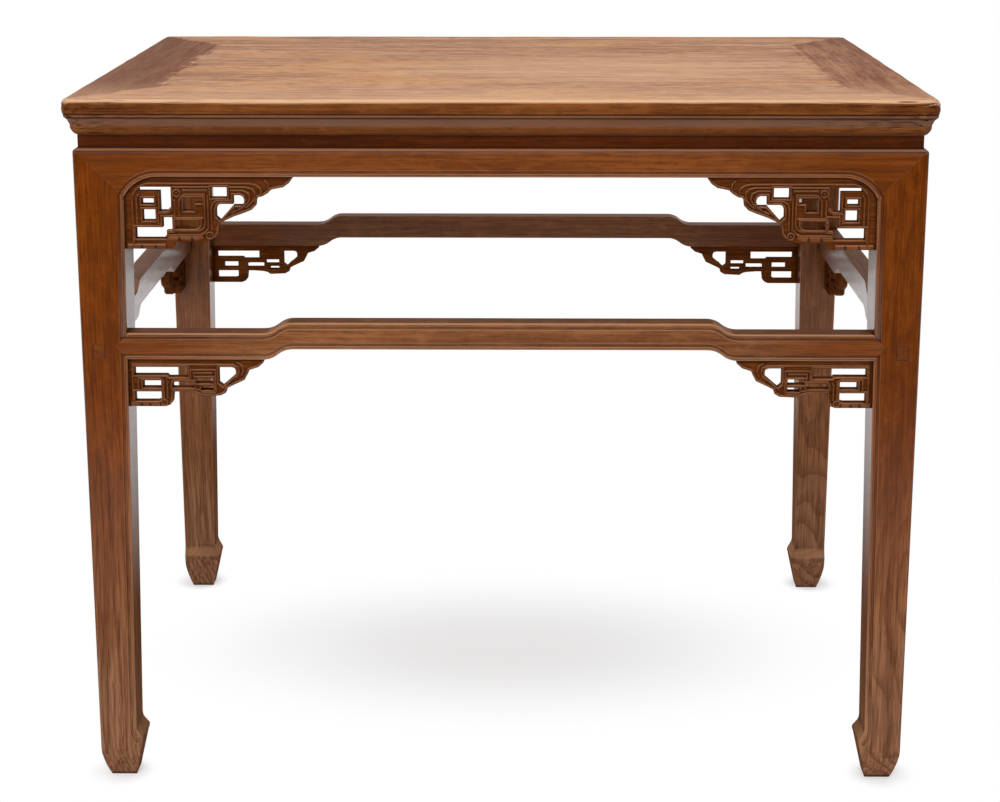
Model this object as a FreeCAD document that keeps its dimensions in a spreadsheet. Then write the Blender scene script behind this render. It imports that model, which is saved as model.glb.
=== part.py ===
import FreeCAD, Part
import Sketcher
import math
import os
from FreeCAD import Placement, Rotation, Vector

# Altar table with a waist, humpback stretchers, fretwork spandrels and hoof feet.
# Frame: origin on the floor under the middle of the top, X along the long side, front at -Y, Z up.
# Side pieces are drawn as if they stood at the front, and are then turned about Z to their own side.

SIZES = {
    # Overall
    "table_width": 1026,
    "table_depth": 750,
    "table_height": 860,
    "apron_setback": 10.5,
    # Mitred frame of the top
    "frame_thickness": 44,
    "rail_width": 125,
    "end_width": 99,
    "edge_inset": 16,
    "frame_tenon_setback": 12,
    "frame_tenon_width": 38,
    "frame_tenon_thickness": 12,
    "frame_tenon_lift": 12,
    "frame_tenon_cover": 24,
    # Floating panel of the top
    "panel_thickness": 14,
    "panel_tongue": 8,
    "panel_tongue_thickness": 6,
    "panel_tongue_drop": 6,
    # Dovetailed battens under the panel
    "batten_width": 34,
    "batten_height": 22,
    "batten_dovetail": 4,
    "batten_dovetail_root": 16,
    "batten_dovetail_flare": 3,
    "batten_tenon": 12,
    "batten_tenon_width": 20,
    "batten_tenon_thickness": 12,
    "batten_tenon_lift": 4,
    # Waist between the top and the aprons
    "waist_height": 15,
    "waist_setback": 6,
    "waist_thickness": 16,
    "waist_tongue": 5,
    "waist_tongue_thickness": 6,
    # Aprons
    "apron_height": 34,
    "apron_thickness": 24,
    "apron_round": 6,
    "corner_run": 39,
    "corner_drop": 24,
    # Legs and hoof feet
    "leg_width": 58.5,
    "ankle_width": 46,
    "ankle_height": 70,
    "hoof_reach": 53,
    "hoof_top": 54,
    "hoof_nose": 8,
    "hoof_nose_round": 1,
    "sole_width": 31,
    "sole_setback": 11,
    "sole_round": 40,
    "corner_arris": 3,
    "post_tenon_width": 18,
    "post_tenon_setback": 2,
    "post_tenon_height": 26,
    # Humpback stretchers
    "stretcher_drop": 222,
    "stretcher_height": 33,
    "stretcher_thickness": 28,
    "stretcher_flat": 163,
    "hump_run": 36,
    "hump_rise": 13,
    "shoulder_depth": 13,
    "shoulder_lap": 12,
    "stretcher_tenon_thickness": 14,
    "side_tenon_lift": 1,
    "side_tenon_height": 18,
    "long_tenon_lift": 22,
    "long_tenon_height": 9,
    "long_tenon_cover": 20,
    # Bead along the aprons, legs and stretchers
    "bead_width": 4.5,
    "groove_width": 3,
    "groove_depth": 1.2,
    # Fretwork spandrels
    "spandrel_thickness": 10,
    "spandrel_setback": 6,
    "spandrel_tongue": 4,
    "spandrel_tongue_thickness": 5,
    "upper_length": 200.6,
    "upper_height": 87,
    "lower_length": 165,
    "lower_height": 59.4,
    # Clearances
    "fit_gap": 0.2,
    "cut_overrun": 5,
}

BATTEN_PLACE_SHARES = (-0.33, 0.0, 0.33)
BOARD_COUNT = 3

# Moulded edge of the top: shares of the edge inset and of the frame thickness, down from the top
# The band and the foot are arcs, each with a middle point and an end point
EDGE_TOP_SHARES = (0.30, 0.0)
EDGE_BAND_SHARES = (((0.0821, 0.0627), (0.0, 0.1591)), ((0.0140, 0.275), (0.0563, 0.391)))
EDGE_BEAD_SHARES = ((0.1125, 0.409), (0.075, 0.445), (0.106, 0.486), (0.1625, 0.509))
EDGE_FOOT_SHARES = (((0.35, 0.6045), (0.475, 0.7386)), ((0.58, 0.891), (0.92, 1.0)))

# Hoof: points of its curves, as shares of the stretch that each curve crosses
SOLE_CURVE_SHARES = (0.30, 0.55)
FLARE_CURVE_SHARES = (0.117, 0.675)
FLARE_TURN_SHARES = (0.467, 0.375)
BEAD_FLARE_SHARES = (0.30, 0.36)

# Spandrel outlines and openings: shares of length along the rail and of height down from it
UPPER_OUTLINE_SHARES = (
    (1.0, 0.0), (0.972, 0.09), (0.937, 0.147), (0.867, 0.179), (0.847, 0.228), (0.813, 0.274),
    (0.788, 0.285), (0.778, 0.326), (0.774, 0.399), (0.75, 0.456), (0.708, 0.497), (0.638, 0.554),
    (0.586, 0.611), (0.558, 0.644), (0.551, 0.717), (0.55, 0.774), (0.534, 0.834), (0.5, 0.88),
    (0.459, 0.905), (0.291, 0.905), (0.284, 0.977), (0.27, 1.0),
)
UPPER_OPENING_SHARES = {
    "top_step": ((0.085, 0.144), (0.273, 0.144), (0.273, 0.414), (0.249, 0.471), (0.209, 0.471),
                 (0.209, 0.2), (0.085, 0.2)),
    "left_upper": ((0.102, 0.301), (0.172, 0.301), (0.172, 0.379), (0.102, 0.379)),
    "left_lower": ((0.105, 0.453), (0.179, 0.453), (0.179, 0.605), (0.105, 0.605)),
    "low_step": ((0.06, 0.7), (0.22, 0.7), (0.22, 0.562), (0.279, 0.562), (0.279, 0.746), (0.242, 0.746),
                 (0.242, 0.853), (0.06, 0.853)),
    "spiral": ((0.349, 0.293), (0.454, 0.293), (0.454, 0.362), (0.409, 0.362), (0.409, 0.471),
               (0.349, 0.471)),
    "slot": ((0.292, 0.61), (0.441, 0.61), (0.441, 0.661), (0.431, 0.701), (0.414, 0.721), (0.292, 0.721)),
    "square": ((0.511, 0.147), (0.604, 0.147), (0.604, 0.29), (0.511, 0.29)),
    "teardrop": ((0.563, 0.378), (0.648, 0.378), (0.561, 0.602), (0.538, 0.552), (0.538, 0.454),
                 (0.546, 0.402)),
    "eye": ((0.641, 0.257), (0.682, 0.257), (0.699, 0.28), (0.706, 0.322), (0.704, 0.368), (0.691, 0.395),
            (0.641, 0.395)),
}
LOWER_OUTLINE_SHARES = (
    (1.0, 0.0), (0.986, 0.079), (0.948, 0.172), (0.883, 0.232), (0.869, 0.32), (0.845, 0.441),
    (0.762, 0.549), (0.715, 0.616), (0.706, 0.709), (0.668, 0.768), (0.529, 0.785), (0.505, 0.736),
    (0.468, 0.709), (0.379, 0.69), (0.324, 0.69), (0.316, 0.897), (0.295, 0.965), (0.262, 1.0),
)
LOWER_OPENING_SHARES = {
    "top_slot": ((0.042, 0.173), (0.43, 0.173), (0.43, 0.377), (0.291, 0.377), (0.279, 0.337),
                 (0.042, 0.337)),
    "left_upper": ((0.103, 0.455), (0.232, 0.455), (0.232, 0.598), (0.103, 0.598)),
    "left_lower": ((0.042, 0.689), (0.232, 0.689), (0.232, 0.825), (0.221, 0.869), (0.203, 0.882),
                   (0.042, 0.882)),
    "middle": ((0.339, 0.481), (0.473, 0.481), (0.473, 0.598), (0.318, 0.598), (0.318, 0.539),
               (0.324, 0.498)),
    "spiral": ((0.487, 0.401), (0.613, 0.401), (0.613, 0.507), (0.487, 0.507)),
    "curl": ((0.529, 0.574), (0.613, 0.574), (0.613, 0.65), (0.529, 0.65)),
    "teardrop": ((0.658, 0.173), (0.752, 0.173), (0.775, 0.195), (0.782, 0.244), (0.782, 0.337),
                 (0.685, 0.566), (0.658, 0.505)),
}

DOC = FreeCAD.newDocument("altar_table")
SHEET = DOC.addObject("Spreadsheet::Sheet", "sizes")
for row, (alias, number) in enumerate(SIZES.items(), start=1):
    SHEET.set(f"A{row}", alias)
    SHEET.set(f"B{row}", str(number))
    SHEET.setAlias(f"B{row}", alias)
DOC.recompute()


class SheetSizes:
    """Gives each cell of the sheet as a plain number by its name."""

    def __getattr__(self, alias):
        return float(SHEET.get(alias))


mm = SheetSizes()
PIECES = []

# Levels and distances that several pieces share
FRAME_LOW = mm.table_height - mm.frame_thickness
APRON_TOP = FRAME_LOW - mm.waist_height
APRON_LOW = APRON_TOP - mm.apron_height
CORNER_LOW = APRON_LOW - mm.corner_drop
STRETCHER_LOW = APRON_LOW - mm.stretcher_drop
STRETCHER_TOP = STRETCHER_LOW + mm.stretcher_height
STRETCHER_MIDDLE = STRETCHER_LOW + mm.stretcher_height / 2
BODY_WIDTH = mm.table_width - 2 * mm.apron_setback
BODY_DEPTH = mm.table_depth - 2 * mm.apron_setback
FRONT_REACH = BODY_DEPTH / 2
SIDE_REACH = BODY_WIDTH / 2
WAIST_TONGUE_IN = mm.waist_setback + (mm.waist_thickness - mm.waist_tongue_thickness) / 2
SPANDREL_TONGUE_IN = mm.spandrel_setback + (mm.spandrel_thickness - mm.spandrel_tongue_thickness) / 2
LAP_IN = mm.apron_thickness + mm.fit_gap
OPENING_WIDTH = mm.table_width - 2 * mm.end_width
OPENING_DEPTH = mm.table_depth - 2 * mm.rail_width


# Outlines: a point is (x, y); an arc to a point is (x, y, middle x, middle y)

def rectangle(x1, y1, x2, y2):
    """A rectangle between two corners."""
    return [(x1, y1), (x2, y1), (x2, y2), (x1, y2)]


def mirrored(outline):
    """The same outline on the other side of the vertical axis."""
    return [tuple(-value if place % 2 == 0 else value for place, value in enumerate(point)) for point in outline]


def arc_middle(centre, radius, angle):
    """A point of a circle; the angle is measured from straight up."""
    return (centre[0] + radius * math.sin(angle), centre[1] + radius * math.cos(angle))


def draw(sketch, outline):
    """Adds one closed outline to a sketch, joined at its corners."""
    corners = [Vector(point[0], point[1], 0) for point in outline]
    corners.append(corners[0])
    first = sketch.GeometryCount
    for index, point in enumerate(outline[1:] + outline[:1]):
        start = corners[index]
        stop = corners[index + 1]
        if len(point) == 4:
            sketch.addGeometry(Part.Arc(start, Vector(point[2], point[3], 0), stop), False)
        else:
            sketch.addGeometry(Part.LineSegment(start, stop), False)
    edges = range(first, sketch.GeometryCount)
    for index, edge in enumerate(edges):
        following = edges[(index + 1) % len(edges)]
        joint = corners[index + 1]
        sketch.addConstraint(coincident(sketch, edge, following, joint))


def coincident(sketch, edge, following, joint):
    """The constraint that joins two edges at the corner where they meet."""
    ends = []
    for geometry in (edge, following):
        near = min((1, 2), key=lambda end: (sketch.getPoint(geometry, end) - joint).Length)
        ends += [geometry, near]
    return Sketcher.Constraint("Coincident", *ends)


def add_sketch(body, name, plane_role, level, outlines):
    """A sketch on one of the body's own origin planes, moved to a level along that plane's normal."""
    sketch = body.newObject("Sketcher::SketchObject", name)
    plane = next(feature for feature in body.Origin.OriginFeatures if feature.Role == plane_role)
    sketch.AttachmentSupport = [(plane, "")]
    sketch.MapMode = "FlatFace"
    sign = "-1 * " if plane_role == "XZ_Plane" else ""
    sketch.setExpression(".AttachmentOffset.Base.z", f"{sign}({level})")
    for outline in outlines:
        draw(sketch, outline)
    return sketch


def pad(body, name, plane_role, level, length, *outlines):
    """Adds material from a level towards the positive side of the axis."""
    sketch = add_sketch(body, name + "_sketch", plane_role, level, outlines)
    feature = body.newObject("PartDesign::Pad", name)
    feature.Profile = sketch
    feature.setExpression("Length", length)
    feature.Reversed = plane_role == "XZ_Plane"
    sketch.Visibility = False
    return feature


def cut(body, name, plane_role, level, length, *outlines):
    """Takes material away from a level towards the positive side of the axis."""
    sketch = add_sketch(body, name + "_sketch", plane_role, level, outlines)
    feature = body.newObject("PartDesign::Pocket", name)
    feature.Profile = sketch
    feature.setExpression("Length", length)
    feature.Reversed = plane_role != "XZ_Plane"
    sketch.Visibility = False
    return feature


def new_body(label, angle=0.0):
    """An empty body that is turned about the vertical axis to its side of the table."""
    body = DOC.addObject("PartDesign::Body", label)
    body.Label = label
    body.Placement = Placement(Vector(), Rotation(Vector(0, 0, 1), angle))
    PIECES.append(body)
    return body


# Heights and distances as expressions of the sheet, for the features that are bound to it
def cell(text):
    """Writes each name of the sheet in an expression with the sheet's own name before it."""
    words = text.split()
    return " ".join("sizes." + word if word in SIZES else word for word in words)


FRAME_LOW_CELL = cell("table_height - frame_thickness")
APRON_TOP_CELL = cell("table_height - frame_thickness - waist_height")
APRON_LOW_CELL = f"{APRON_TOP_CELL} - " + cell("apron_height")
STRETCHER_LOW_CELL = f"{APRON_LOW_CELL} - " + cell("stretcher_drop")
FRONT_CELL = cell("apron_setback - table_depth / 2")
SIDE_CELL = cell("apron_setback - table_width / 2")
OVERRUN_CELL = cell("cut_overrun")


def side_cells(reach):
    """The expression of the outer face of a side: the long sides or the short sides."""
    return FRONT_CELL if reach == FRONT_REACH else SIDE_CELL


# The moulded edge of the top

def edge_profile(reach):
    """The moulded edge from the top face down to the underside, with its outer limit at -reach."""
    def at(shares):
        return (mm.edge_inset * shares[0] - reach, mm.table_height - mm.frame_thickness * shares[1])

    def arcs(pairs):
        return [at(end) + at(middle) for middle, end in pairs]

    bead = [at(shares) for shares in EDGE_BEAD_SHARES]
    return [at(EDGE_TOP_SHARES)] + arcs(EDGE_BAND_SHARES) + bead + arcs(EDGE_FOOT_SHARES)


def outside_of_edge(reach):
    """What the moulding cutter takes away outside the moulded edge."""
    outer = -reach - mm.cut_overrun
    return edge_profile(reach) + [(outer, FRAME_LOW), (outer, mm.table_height)]


def frame_member(label, angle, span, reach, width, other_width):
    """One mitred member of the top's frame, with the tenon or the mortise of its corners."""
    body = new_body(label, angle)
    inner = width - reach
    tongue_top = mm.table_height - mm.panel_tongue_drop + mm.fit_gap
    tongue_low = tongue_top - mm.panel_tongue_thickness - 2 * mm.fit_gap
    groove = inner - mm.panel_tongue - mm.fit_gap
    section = edge_profile(reach)
    section += [(inner, FRAME_LOW), (inner, tongue_low), (groove, tongue_low), (groove, tongue_top)]
    section += [(inner, tongue_top), (inner, mm.table_height)]
    half = cell("table_width / 2") if reach == mm.table_depth / 2 else cell("table_depth / 2")
    pad(body, label + "_bar", "YZ_Plane", f"-1 * ({half})", f"2 * ({half})", section)

    slope = other_width / width

    def mitre(y):
        return span / 2 - (y + reach) * slope

    far = span / 2 + mm.cut_overrun
    back = inner + mm.cut_overrun
    corner = [(span / 2, -reach), (mitre(back), back), (far, back), (far, -reach)]
    overall = cell("frame_thickness + 2 * cut_overrun")
    below = cell("table_height - frame_thickness - cut_overrun")
    cut(body, label + "_mitres", "XY_Plane", below, overall, corner, mirrored(corner))
    side = outside_of_edge(span / 2)
    cut(body, label + "_end_edges", "XZ_Plane", side_frame_cell(reach), cell("rail_width + end_width"), side,
        mirrored(side))
    waist_groove(body, label, span, reach, width)
    return body, mitre


def side_frame_cell(reach):
    """The expression of the outer limit of the top on one side."""
    return cell("-1 * table_depth / 2") if reach == mm.table_depth / 2 else cell("-1 * table_width / 2")


def waist_groove(body, label, span, reach, width):
    """The groove in the underside that takes the waist's tongue, with its turn at each corner."""
    near = mm.apron_setback + WAIST_TONGUE_IN - mm.fit_gap
    deep = near + mm.waist_tongue_thickness + 2 * mm.fit_gap
    end = width - reach - mm.cut_overrun
    outline = [(near - span / 2, near - reach), (span / 2 - near, near - reach), (span / 2 - near, end)]
    outline += [(span / 2 - deep, end), (span / 2 - deep, deep - reach), (deep - span / 2, deep - reach)]
    outline += [(deep - span / 2, end), (near - span / 2, end)]
    cut(body, label + "_waist_groove", "XY_Plane", FRAME_LOW_CELL, cell("waist_tongue + fit_gap"), outline)


def top_rail(label, angle):
    """A long rail: tenons into both ends, mortises for the battens and the tenons of two legs."""
    reach = mm.table_depth / 2
    body, mitre = frame_member(label, angle, mm.table_width, reach, mm.rail_width, mm.end_width)
    inner = mm.rail_width - reach
    tenon_back = inner - mm.frame_tenon_setback
    tenon_front = tenon_back - mm.frame_tenon_width
    tip = mm.table_width / 2 - mm.frame_tenon_cover
    root = mitre(tenon_back) - mm.cut_overrun
    tenon = [(root, tenon_front), (tip, tenon_front), (tip, tenon_back), (root, tenon_back)]
    pad(body, label + "_tenons", "XY_Plane", cell("table_height - frame_thickness + frame_tenon_lift"),
        cell("frame_tenon_thickness"), tenon, mirrored(tenon))
    seats = []
    for share in BATTEN_PLACE_SHARES:
        middle = share * OPENING_WIDTH
        half = mm.batten_tenon_width / 2 + mm.fit_gap
        seats.append(rectangle(middle - half, inner - mm.batten_tenon - mm.fit_gap, middle + half,
                               inner + mm.cut_overrun))
    cut(body, label + "_batten_mortises", "XY_Plane",
        cell("table_height - panel_thickness - batten_height + batten_tenon_lift - fit_gap"),
        cell("batten_tenon_thickness + 2 * fit_gap"), *seats)
    post_x = BODY_WIDTH / 2 - mm.leg_width + mm.post_tenon_width + mm.fit_gap
    post_y = -FRONT_REACH + LAP_IN + mm.post_tenon_setback - mm.fit_gap
    wide = mm.post_tenon_width + 2 * mm.fit_gap
    mortise = rectangle(post_x - wide, post_y, post_x, post_y + wide)
    cut(body, label + "_leg_mortises", "XY_Plane", FRAME_LOW_CELL, cell("post_tenon_height + fit_gap"),
        mortise, mirrored(mortise))


def top_end(label, angle):
    """A short end member: mortises for the tenons of the two long rails."""
    reach = mm.table_width / 2
    body, mitre = frame_member(label, angle, mm.table_depth, reach, mm.end_width, mm.rail_width)
    near = mm.table_depth / 2 - mm.rail_width + mm.frame_tenon_setback - mm.fit_gap
    far = near + mm.frame_tenon_width + 2 * mm.fit_gap
    deep = mm.frame_tenon_cover - mm.fit_gap - reach
    mortise = rectangle(near, deep, far, mm.end_width - reach + mm.cut_overrun)
    cut(body, label + "_mortises", "XY_Plane",
        cell("table_height - frame_thickness + frame_tenon_lift - fit_gap"),
        cell("frame_tenon_thickness + 2 * fit_gap"), mortise, mirrored(mortise))


# The floating panel and its battens

def panel_board(label, number):
    """One board of the panel, tongued into the frame and into the next board."""
    body = new_body(label)
    share = OPENING_DEPTH / BOARD_COUNT
    near = -OPENING_DEPTH / 2 + number * share
    far = near + share
    low = mm.table_height - mm.panel_thickness
    tongue_top = mm.table_height - mm.panel_tongue_drop
    tongue_low = tongue_top - mm.panel_tongue_thickness
    section = [(near, low), (far, low), (far, tongue_low), (far + mm.panel_tongue, tongue_low)]
    section += [(far + mm.panel_tongue, tongue_top), (far, tongue_top), (far, mm.table_height)]
    section += [(near, mm.table_height)]
    if number == 0:
        out = near - mm.panel_tongue
        section += [(near, tongue_top), (out, tongue_top), (out, tongue_low), (near, tongue_low)]
    else:
        deep = near + mm.panel_tongue + mm.fit_gap
        up = tongue_top + mm.fit_gap
        down = tongue_low - mm.fit_gap
        section += [(near, up), (deep, up), (deep, down), (near, down)]
    half = cell("table_width / 2 - end_width + panel_tongue")
    pad(body, label + "_board", "YZ_Plane", f"-1 * ({half})", f"2 * ({half})", section)
    shoulder = OPENING_WIDTH / 2
    tip = shoulder + mm.panel_tongue + mm.cut_overrun
    above = rectangle(shoulder, tongue_top, tip, mm.table_height + mm.cut_overrun)
    under = rectangle(shoulder, low - mm.cut_overrun, tip, tongue_low)
    cut(body, label + "_end_tongues", "XZ_Plane", cell("-1 * table_depth / 2"), cell("table_depth"),
        above, under, mirrored(above), mirrored(under))
    slots = []
    for place in BATTEN_PLACE_SHARES:
        slots.append(dovetail(place * OPENING_WIDTH, low, mm.fit_gap, mm.cut_overrun))
    cut(body, label + "_batten_slots", "XZ_Plane", cell("-1 * table_depth / 2"), cell("table_depth"), *slots)


def dovetail(middle, low, gap, overrun):
    """The dovetail that a batten slides in by, or the slot for it with a gap and a run below the panel."""
    root = mm.batten_dovetail_root / 2 + gap
    tip = root + mm.batten_dovetail_flare
    top = low + mm.batten_dovetail + gap
    outline = [(middle - root, low), (middle - tip, top), (middle + tip, top), (middle + root, low)]
    if overrun:
        outline += [(middle + root, low - overrun), (middle - root, low - overrun)]
    return outline


def panel_batten(label, share):
    """A batten across the panel's underside, tenoned into both rails."""
    body = new_body(label)
    middle = share * OPENING_WIDTH
    low = mm.table_height - mm.panel_thickness
    half = mm.batten_width / 2
    section = [(middle - half, low - mm.batten_height), (middle - half, low)]
    section += dovetail(middle, low, 0, 0)
    section += [(middle + half, low), (middle + half, low - mm.batten_height)]
    inner = cell("table_depth / 2 - rail_width")
    pad(body, label + "_bar", "XZ_Plane", f"-1 * ({inner})", f"2 * ({inner})", section)
    base = low - mm.batten_height + mm.batten_tenon_lift
    tenon = rectangle(middle - mm.batten_tenon_width / 2, base, middle + mm.batten_tenon_width / 2,
                      base + mm.batten_tenon_thickness)
    inner = cell("table_depth / 2 - rail_width + batten_tenon")
    pad(body, label + "_tenons", "XZ_Plane", f"-1 * ({inner})", f"2 * ({inner})", tenon)


# The waist and the aprons

def mitred_strip(span, reach, near, deep):
    """A strip along one side between two distances from its outer face, mitred at both corners."""
    outline = [(near - span / 2, near - reach), (span / 2 - near, near - reach)]
    outline += [(span / 2 - deep, deep - reach), (deep - span / 2, deep - reach)]
    return outline


def waist(label, angle, span, reach):
    """One strip of the waist, with tongues into the top's frame and the apron."""
    body = new_body(label, angle)
    strip = mitred_strip(span, reach, mm.waist_setback, mm.waist_setback + mm.waist_thickness)
    pad(body, label + "_strip", "XY_Plane", APRON_TOP_CELL, cell("waist_height"), strip)
    tongue = mitred_strip(span, reach, WAIST_TONGUE_IN, WAIST_TONGUE_IN + mm.waist_tongue_thickness)
    pad(body, label + "_tongues", "XY_Plane",
        cell("table_height - frame_thickness - waist_height - waist_tongue"),
        cell("waist_height + 2 * waist_tongue"), tongue)


def corner_curve():
    """Radius and turn of the curve that leads an apron's lower edge down to the leg."""
    radius = (mm.corner_run ** 2 + mm.corner_drop ** 2) / (2 * mm.corner_drop)
    return radius, math.asin(mm.corner_run / radius)


def top_round():
    """What is taken off along the body's top outer edge to round it, drawn from the outer face."""
    low = APRON_TOP - mm.apron_round
    bend = arc_middle((mm.apron_round, low), mm.apron_round, -math.pi / 4)
    high = APRON_TOP + mm.cut_overrun
    outline = [(0, low), (mm.apron_round, APRON_TOP) + bend, (mm.apron_round, high)]
    return outline + [(-mm.cut_overrun, high), (-mm.cut_overrun, low)]


def apron(label, angle, span, reach):
    """An apron: mitred over the legs, curved down to them, with a bead along its lower edge."""
    body = new_body(label, angle)
    outer = side_cells(reach)
    inner = span / 2 - mm.leg_width
    flat = inner - mm.corner_run
    radius, turn = corner_curve()
    centre = (flat, APRON_LOW - radius)
    right = [(span / 2, APRON_TOP), (inner, CORNER_LOW)]
    right.append((flat, APRON_LOW) + arc_middle(centre, radius, turn / 2))
    left = [(-flat, APRON_LOW), (-inner, CORNER_LOW) + arc_middle((-flat, centre[1]), radius, -turn / 2)]
    left.append((-span / 2, APRON_TOP))
    pad(body, label + "_board", "XZ_Plane", outer, cell("apron_thickness"), right + left)
    corner = [(span / 2, -reach), (span / 2 - mm.apron_thickness, mm.apron_thickness - reach)]
    corner += [(span / 2 - mm.apron_thickness, mm.apron_thickness + mm.cut_overrun - reach)]
    corner += [(span / 2 + mm.cut_overrun, mm.apron_thickness + mm.cut_overrun - reach)]
    corner += [(span / 2 + mm.cut_overrun, -reach)]
    tall = cell("apron_height + corner_drop + 2 * cut_overrun")
    below = f"{APRON_LOW_CELL} - " + cell("corner_drop - cut_overrun")
    cut(body, label + "_mitres", "XY_Plane", below, tall, corner, mirrored(corner))
    half = cell("table_width / 2 + cut_overrun")
    cut(body, label + "_top_round", "YZ_Plane", f"-1 * ({half})", f"2 * ({half})",
        placed(top_round(), -reach, 1))
    near = WAIST_TONGUE_IN - mm.fit_gap
    groove = mitred_strip(span, reach, near, near + mm.waist_tongue_thickness + 2 * mm.fit_gap)
    cut(body, label + "_waist_groove", "XY_Plane",
        cell("table_height - frame_thickness - waist_height - waist_tongue - fit_gap"),
        cell("waist_tongue + fit_gap + cut_overrun"), groove)
    side = SPANDREL_TONGUE_IN - reach - mm.fit_gap
    slot = rectangle(-inner + mm.corner_run, side, -inner + mm.upper_length - mm.corner_drop,
                     side + mm.spandrel_tongue_thickness + 2 * mm.fit_gap)
    cut(body, label + "_spandrel_slots", "XY_Plane",
        f"{APRON_LOW_CELL} - {OVERRUN_CELL}",
        cell("spandrel_tongue + fit_gap + cut_overrun"), slot, mirrored(slot))
    bead_in = radius + mm.bead_width
    bead_out = bead_in + mm.groove_width
    high = APRON_LOW + mm.bead_width
    bead = [(-flat, high), (flat, high)]
    bead.append(arc_middle(centre, bead_in, turn) + arc_middle(centre, bead_in, turn / 2))
    bead.append(arc_middle(centre, bead_out, turn))
    bead.append((flat, high + mm.groove_width) + arc_middle(centre, bead_out, turn / 2))
    bead.append((-flat, high + mm.groove_width))
    mirror_centre = (-flat, centre[1])
    bead.append(arc_middle(mirror_centre, bead_out, -turn) + arc_middle(mirror_centre, bead_out, -turn / 2))
    bead.append(arc_middle(mirror_centre, bead_in, -turn))
    bead[0] = (-flat, high) + arc_middle(mirror_centre, bead_in, -turn / 2)
    cut(body, label + "_bead_groove", "XZ_Plane", outer, cell("groove_depth"), bead)


# The legs: drawn at their corner by the distance in from the two outer faces

def leg_inner(height):
    """Distance of a leg's inner face from its outer face: the leg tapers down to the ankle."""
    drop = min(max((CORNER_LOW - height) / (CORNER_LOW - mm.ankle_height), 0), 1)
    return mm.leg_width - (mm.leg_width - mm.ankle_width) * drop


def hoof_flare():
    """The hoof's inner outline, from the ankle down to the sole."""
    nose = mm.hoof_reach - mm.hoof_nose_round
    fall = mm.ankle_height - mm.hoof_top
    spread = nose - mm.ankle_width
    bend = (mm.ankle_width + spread * FLARE_CURVE_SHARES[0], mm.hoof_top + fall * FLARE_CURVE_SHARES[1])
    turn = (mm.ankle_width + spread * FLARE_TURN_SHARES[0], mm.hoof_top + fall * FLARE_TURN_SHARES[1])
    flare = [(mm.ankle_width, mm.ankle_height), turn + bend, (nose, mm.hoof_top)]
    flare.append((nose, mm.hoof_top - mm.hoof_nose, mm.hoof_reach, mm.hoof_top - mm.hoof_nose / 2))
    return flare + [(mm.sole_setback + mm.sole_width, 0)]


def sole_round():
    """The middle point of the rounding between a leg's outer face and its sole."""
    return (mm.sole_setback * SOLE_CURVE_SHARES[0], mm.sole_round * SOLE_CURVE_SHARES[1])


def outer_arris(x_face, y_face):
    """What is taken off in plan to round a vertical corner of the table's body."""
    side_x = math.copysign(1, x_face)
    side_y = math.copysign(1, y_face)
    near_x = x_face - side_x * mm.corner_arris
    near_y = y_face - side_y * mm.corner_arris
    reach = mm.corner_arris * math.sin(math.pi / 4)
    far_x = x_face + side_x * mm.cut_overrun
    far_y = y_face + side_y * mm.cut_overrun
    rounding = (near_x, y_face, near_x + side_x * reach, near_y + side_y * reach)
    return [(x_face, near_y), rounding, (near_x, far_y), (far_x, far_y), (far_x, near_y)]


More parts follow.
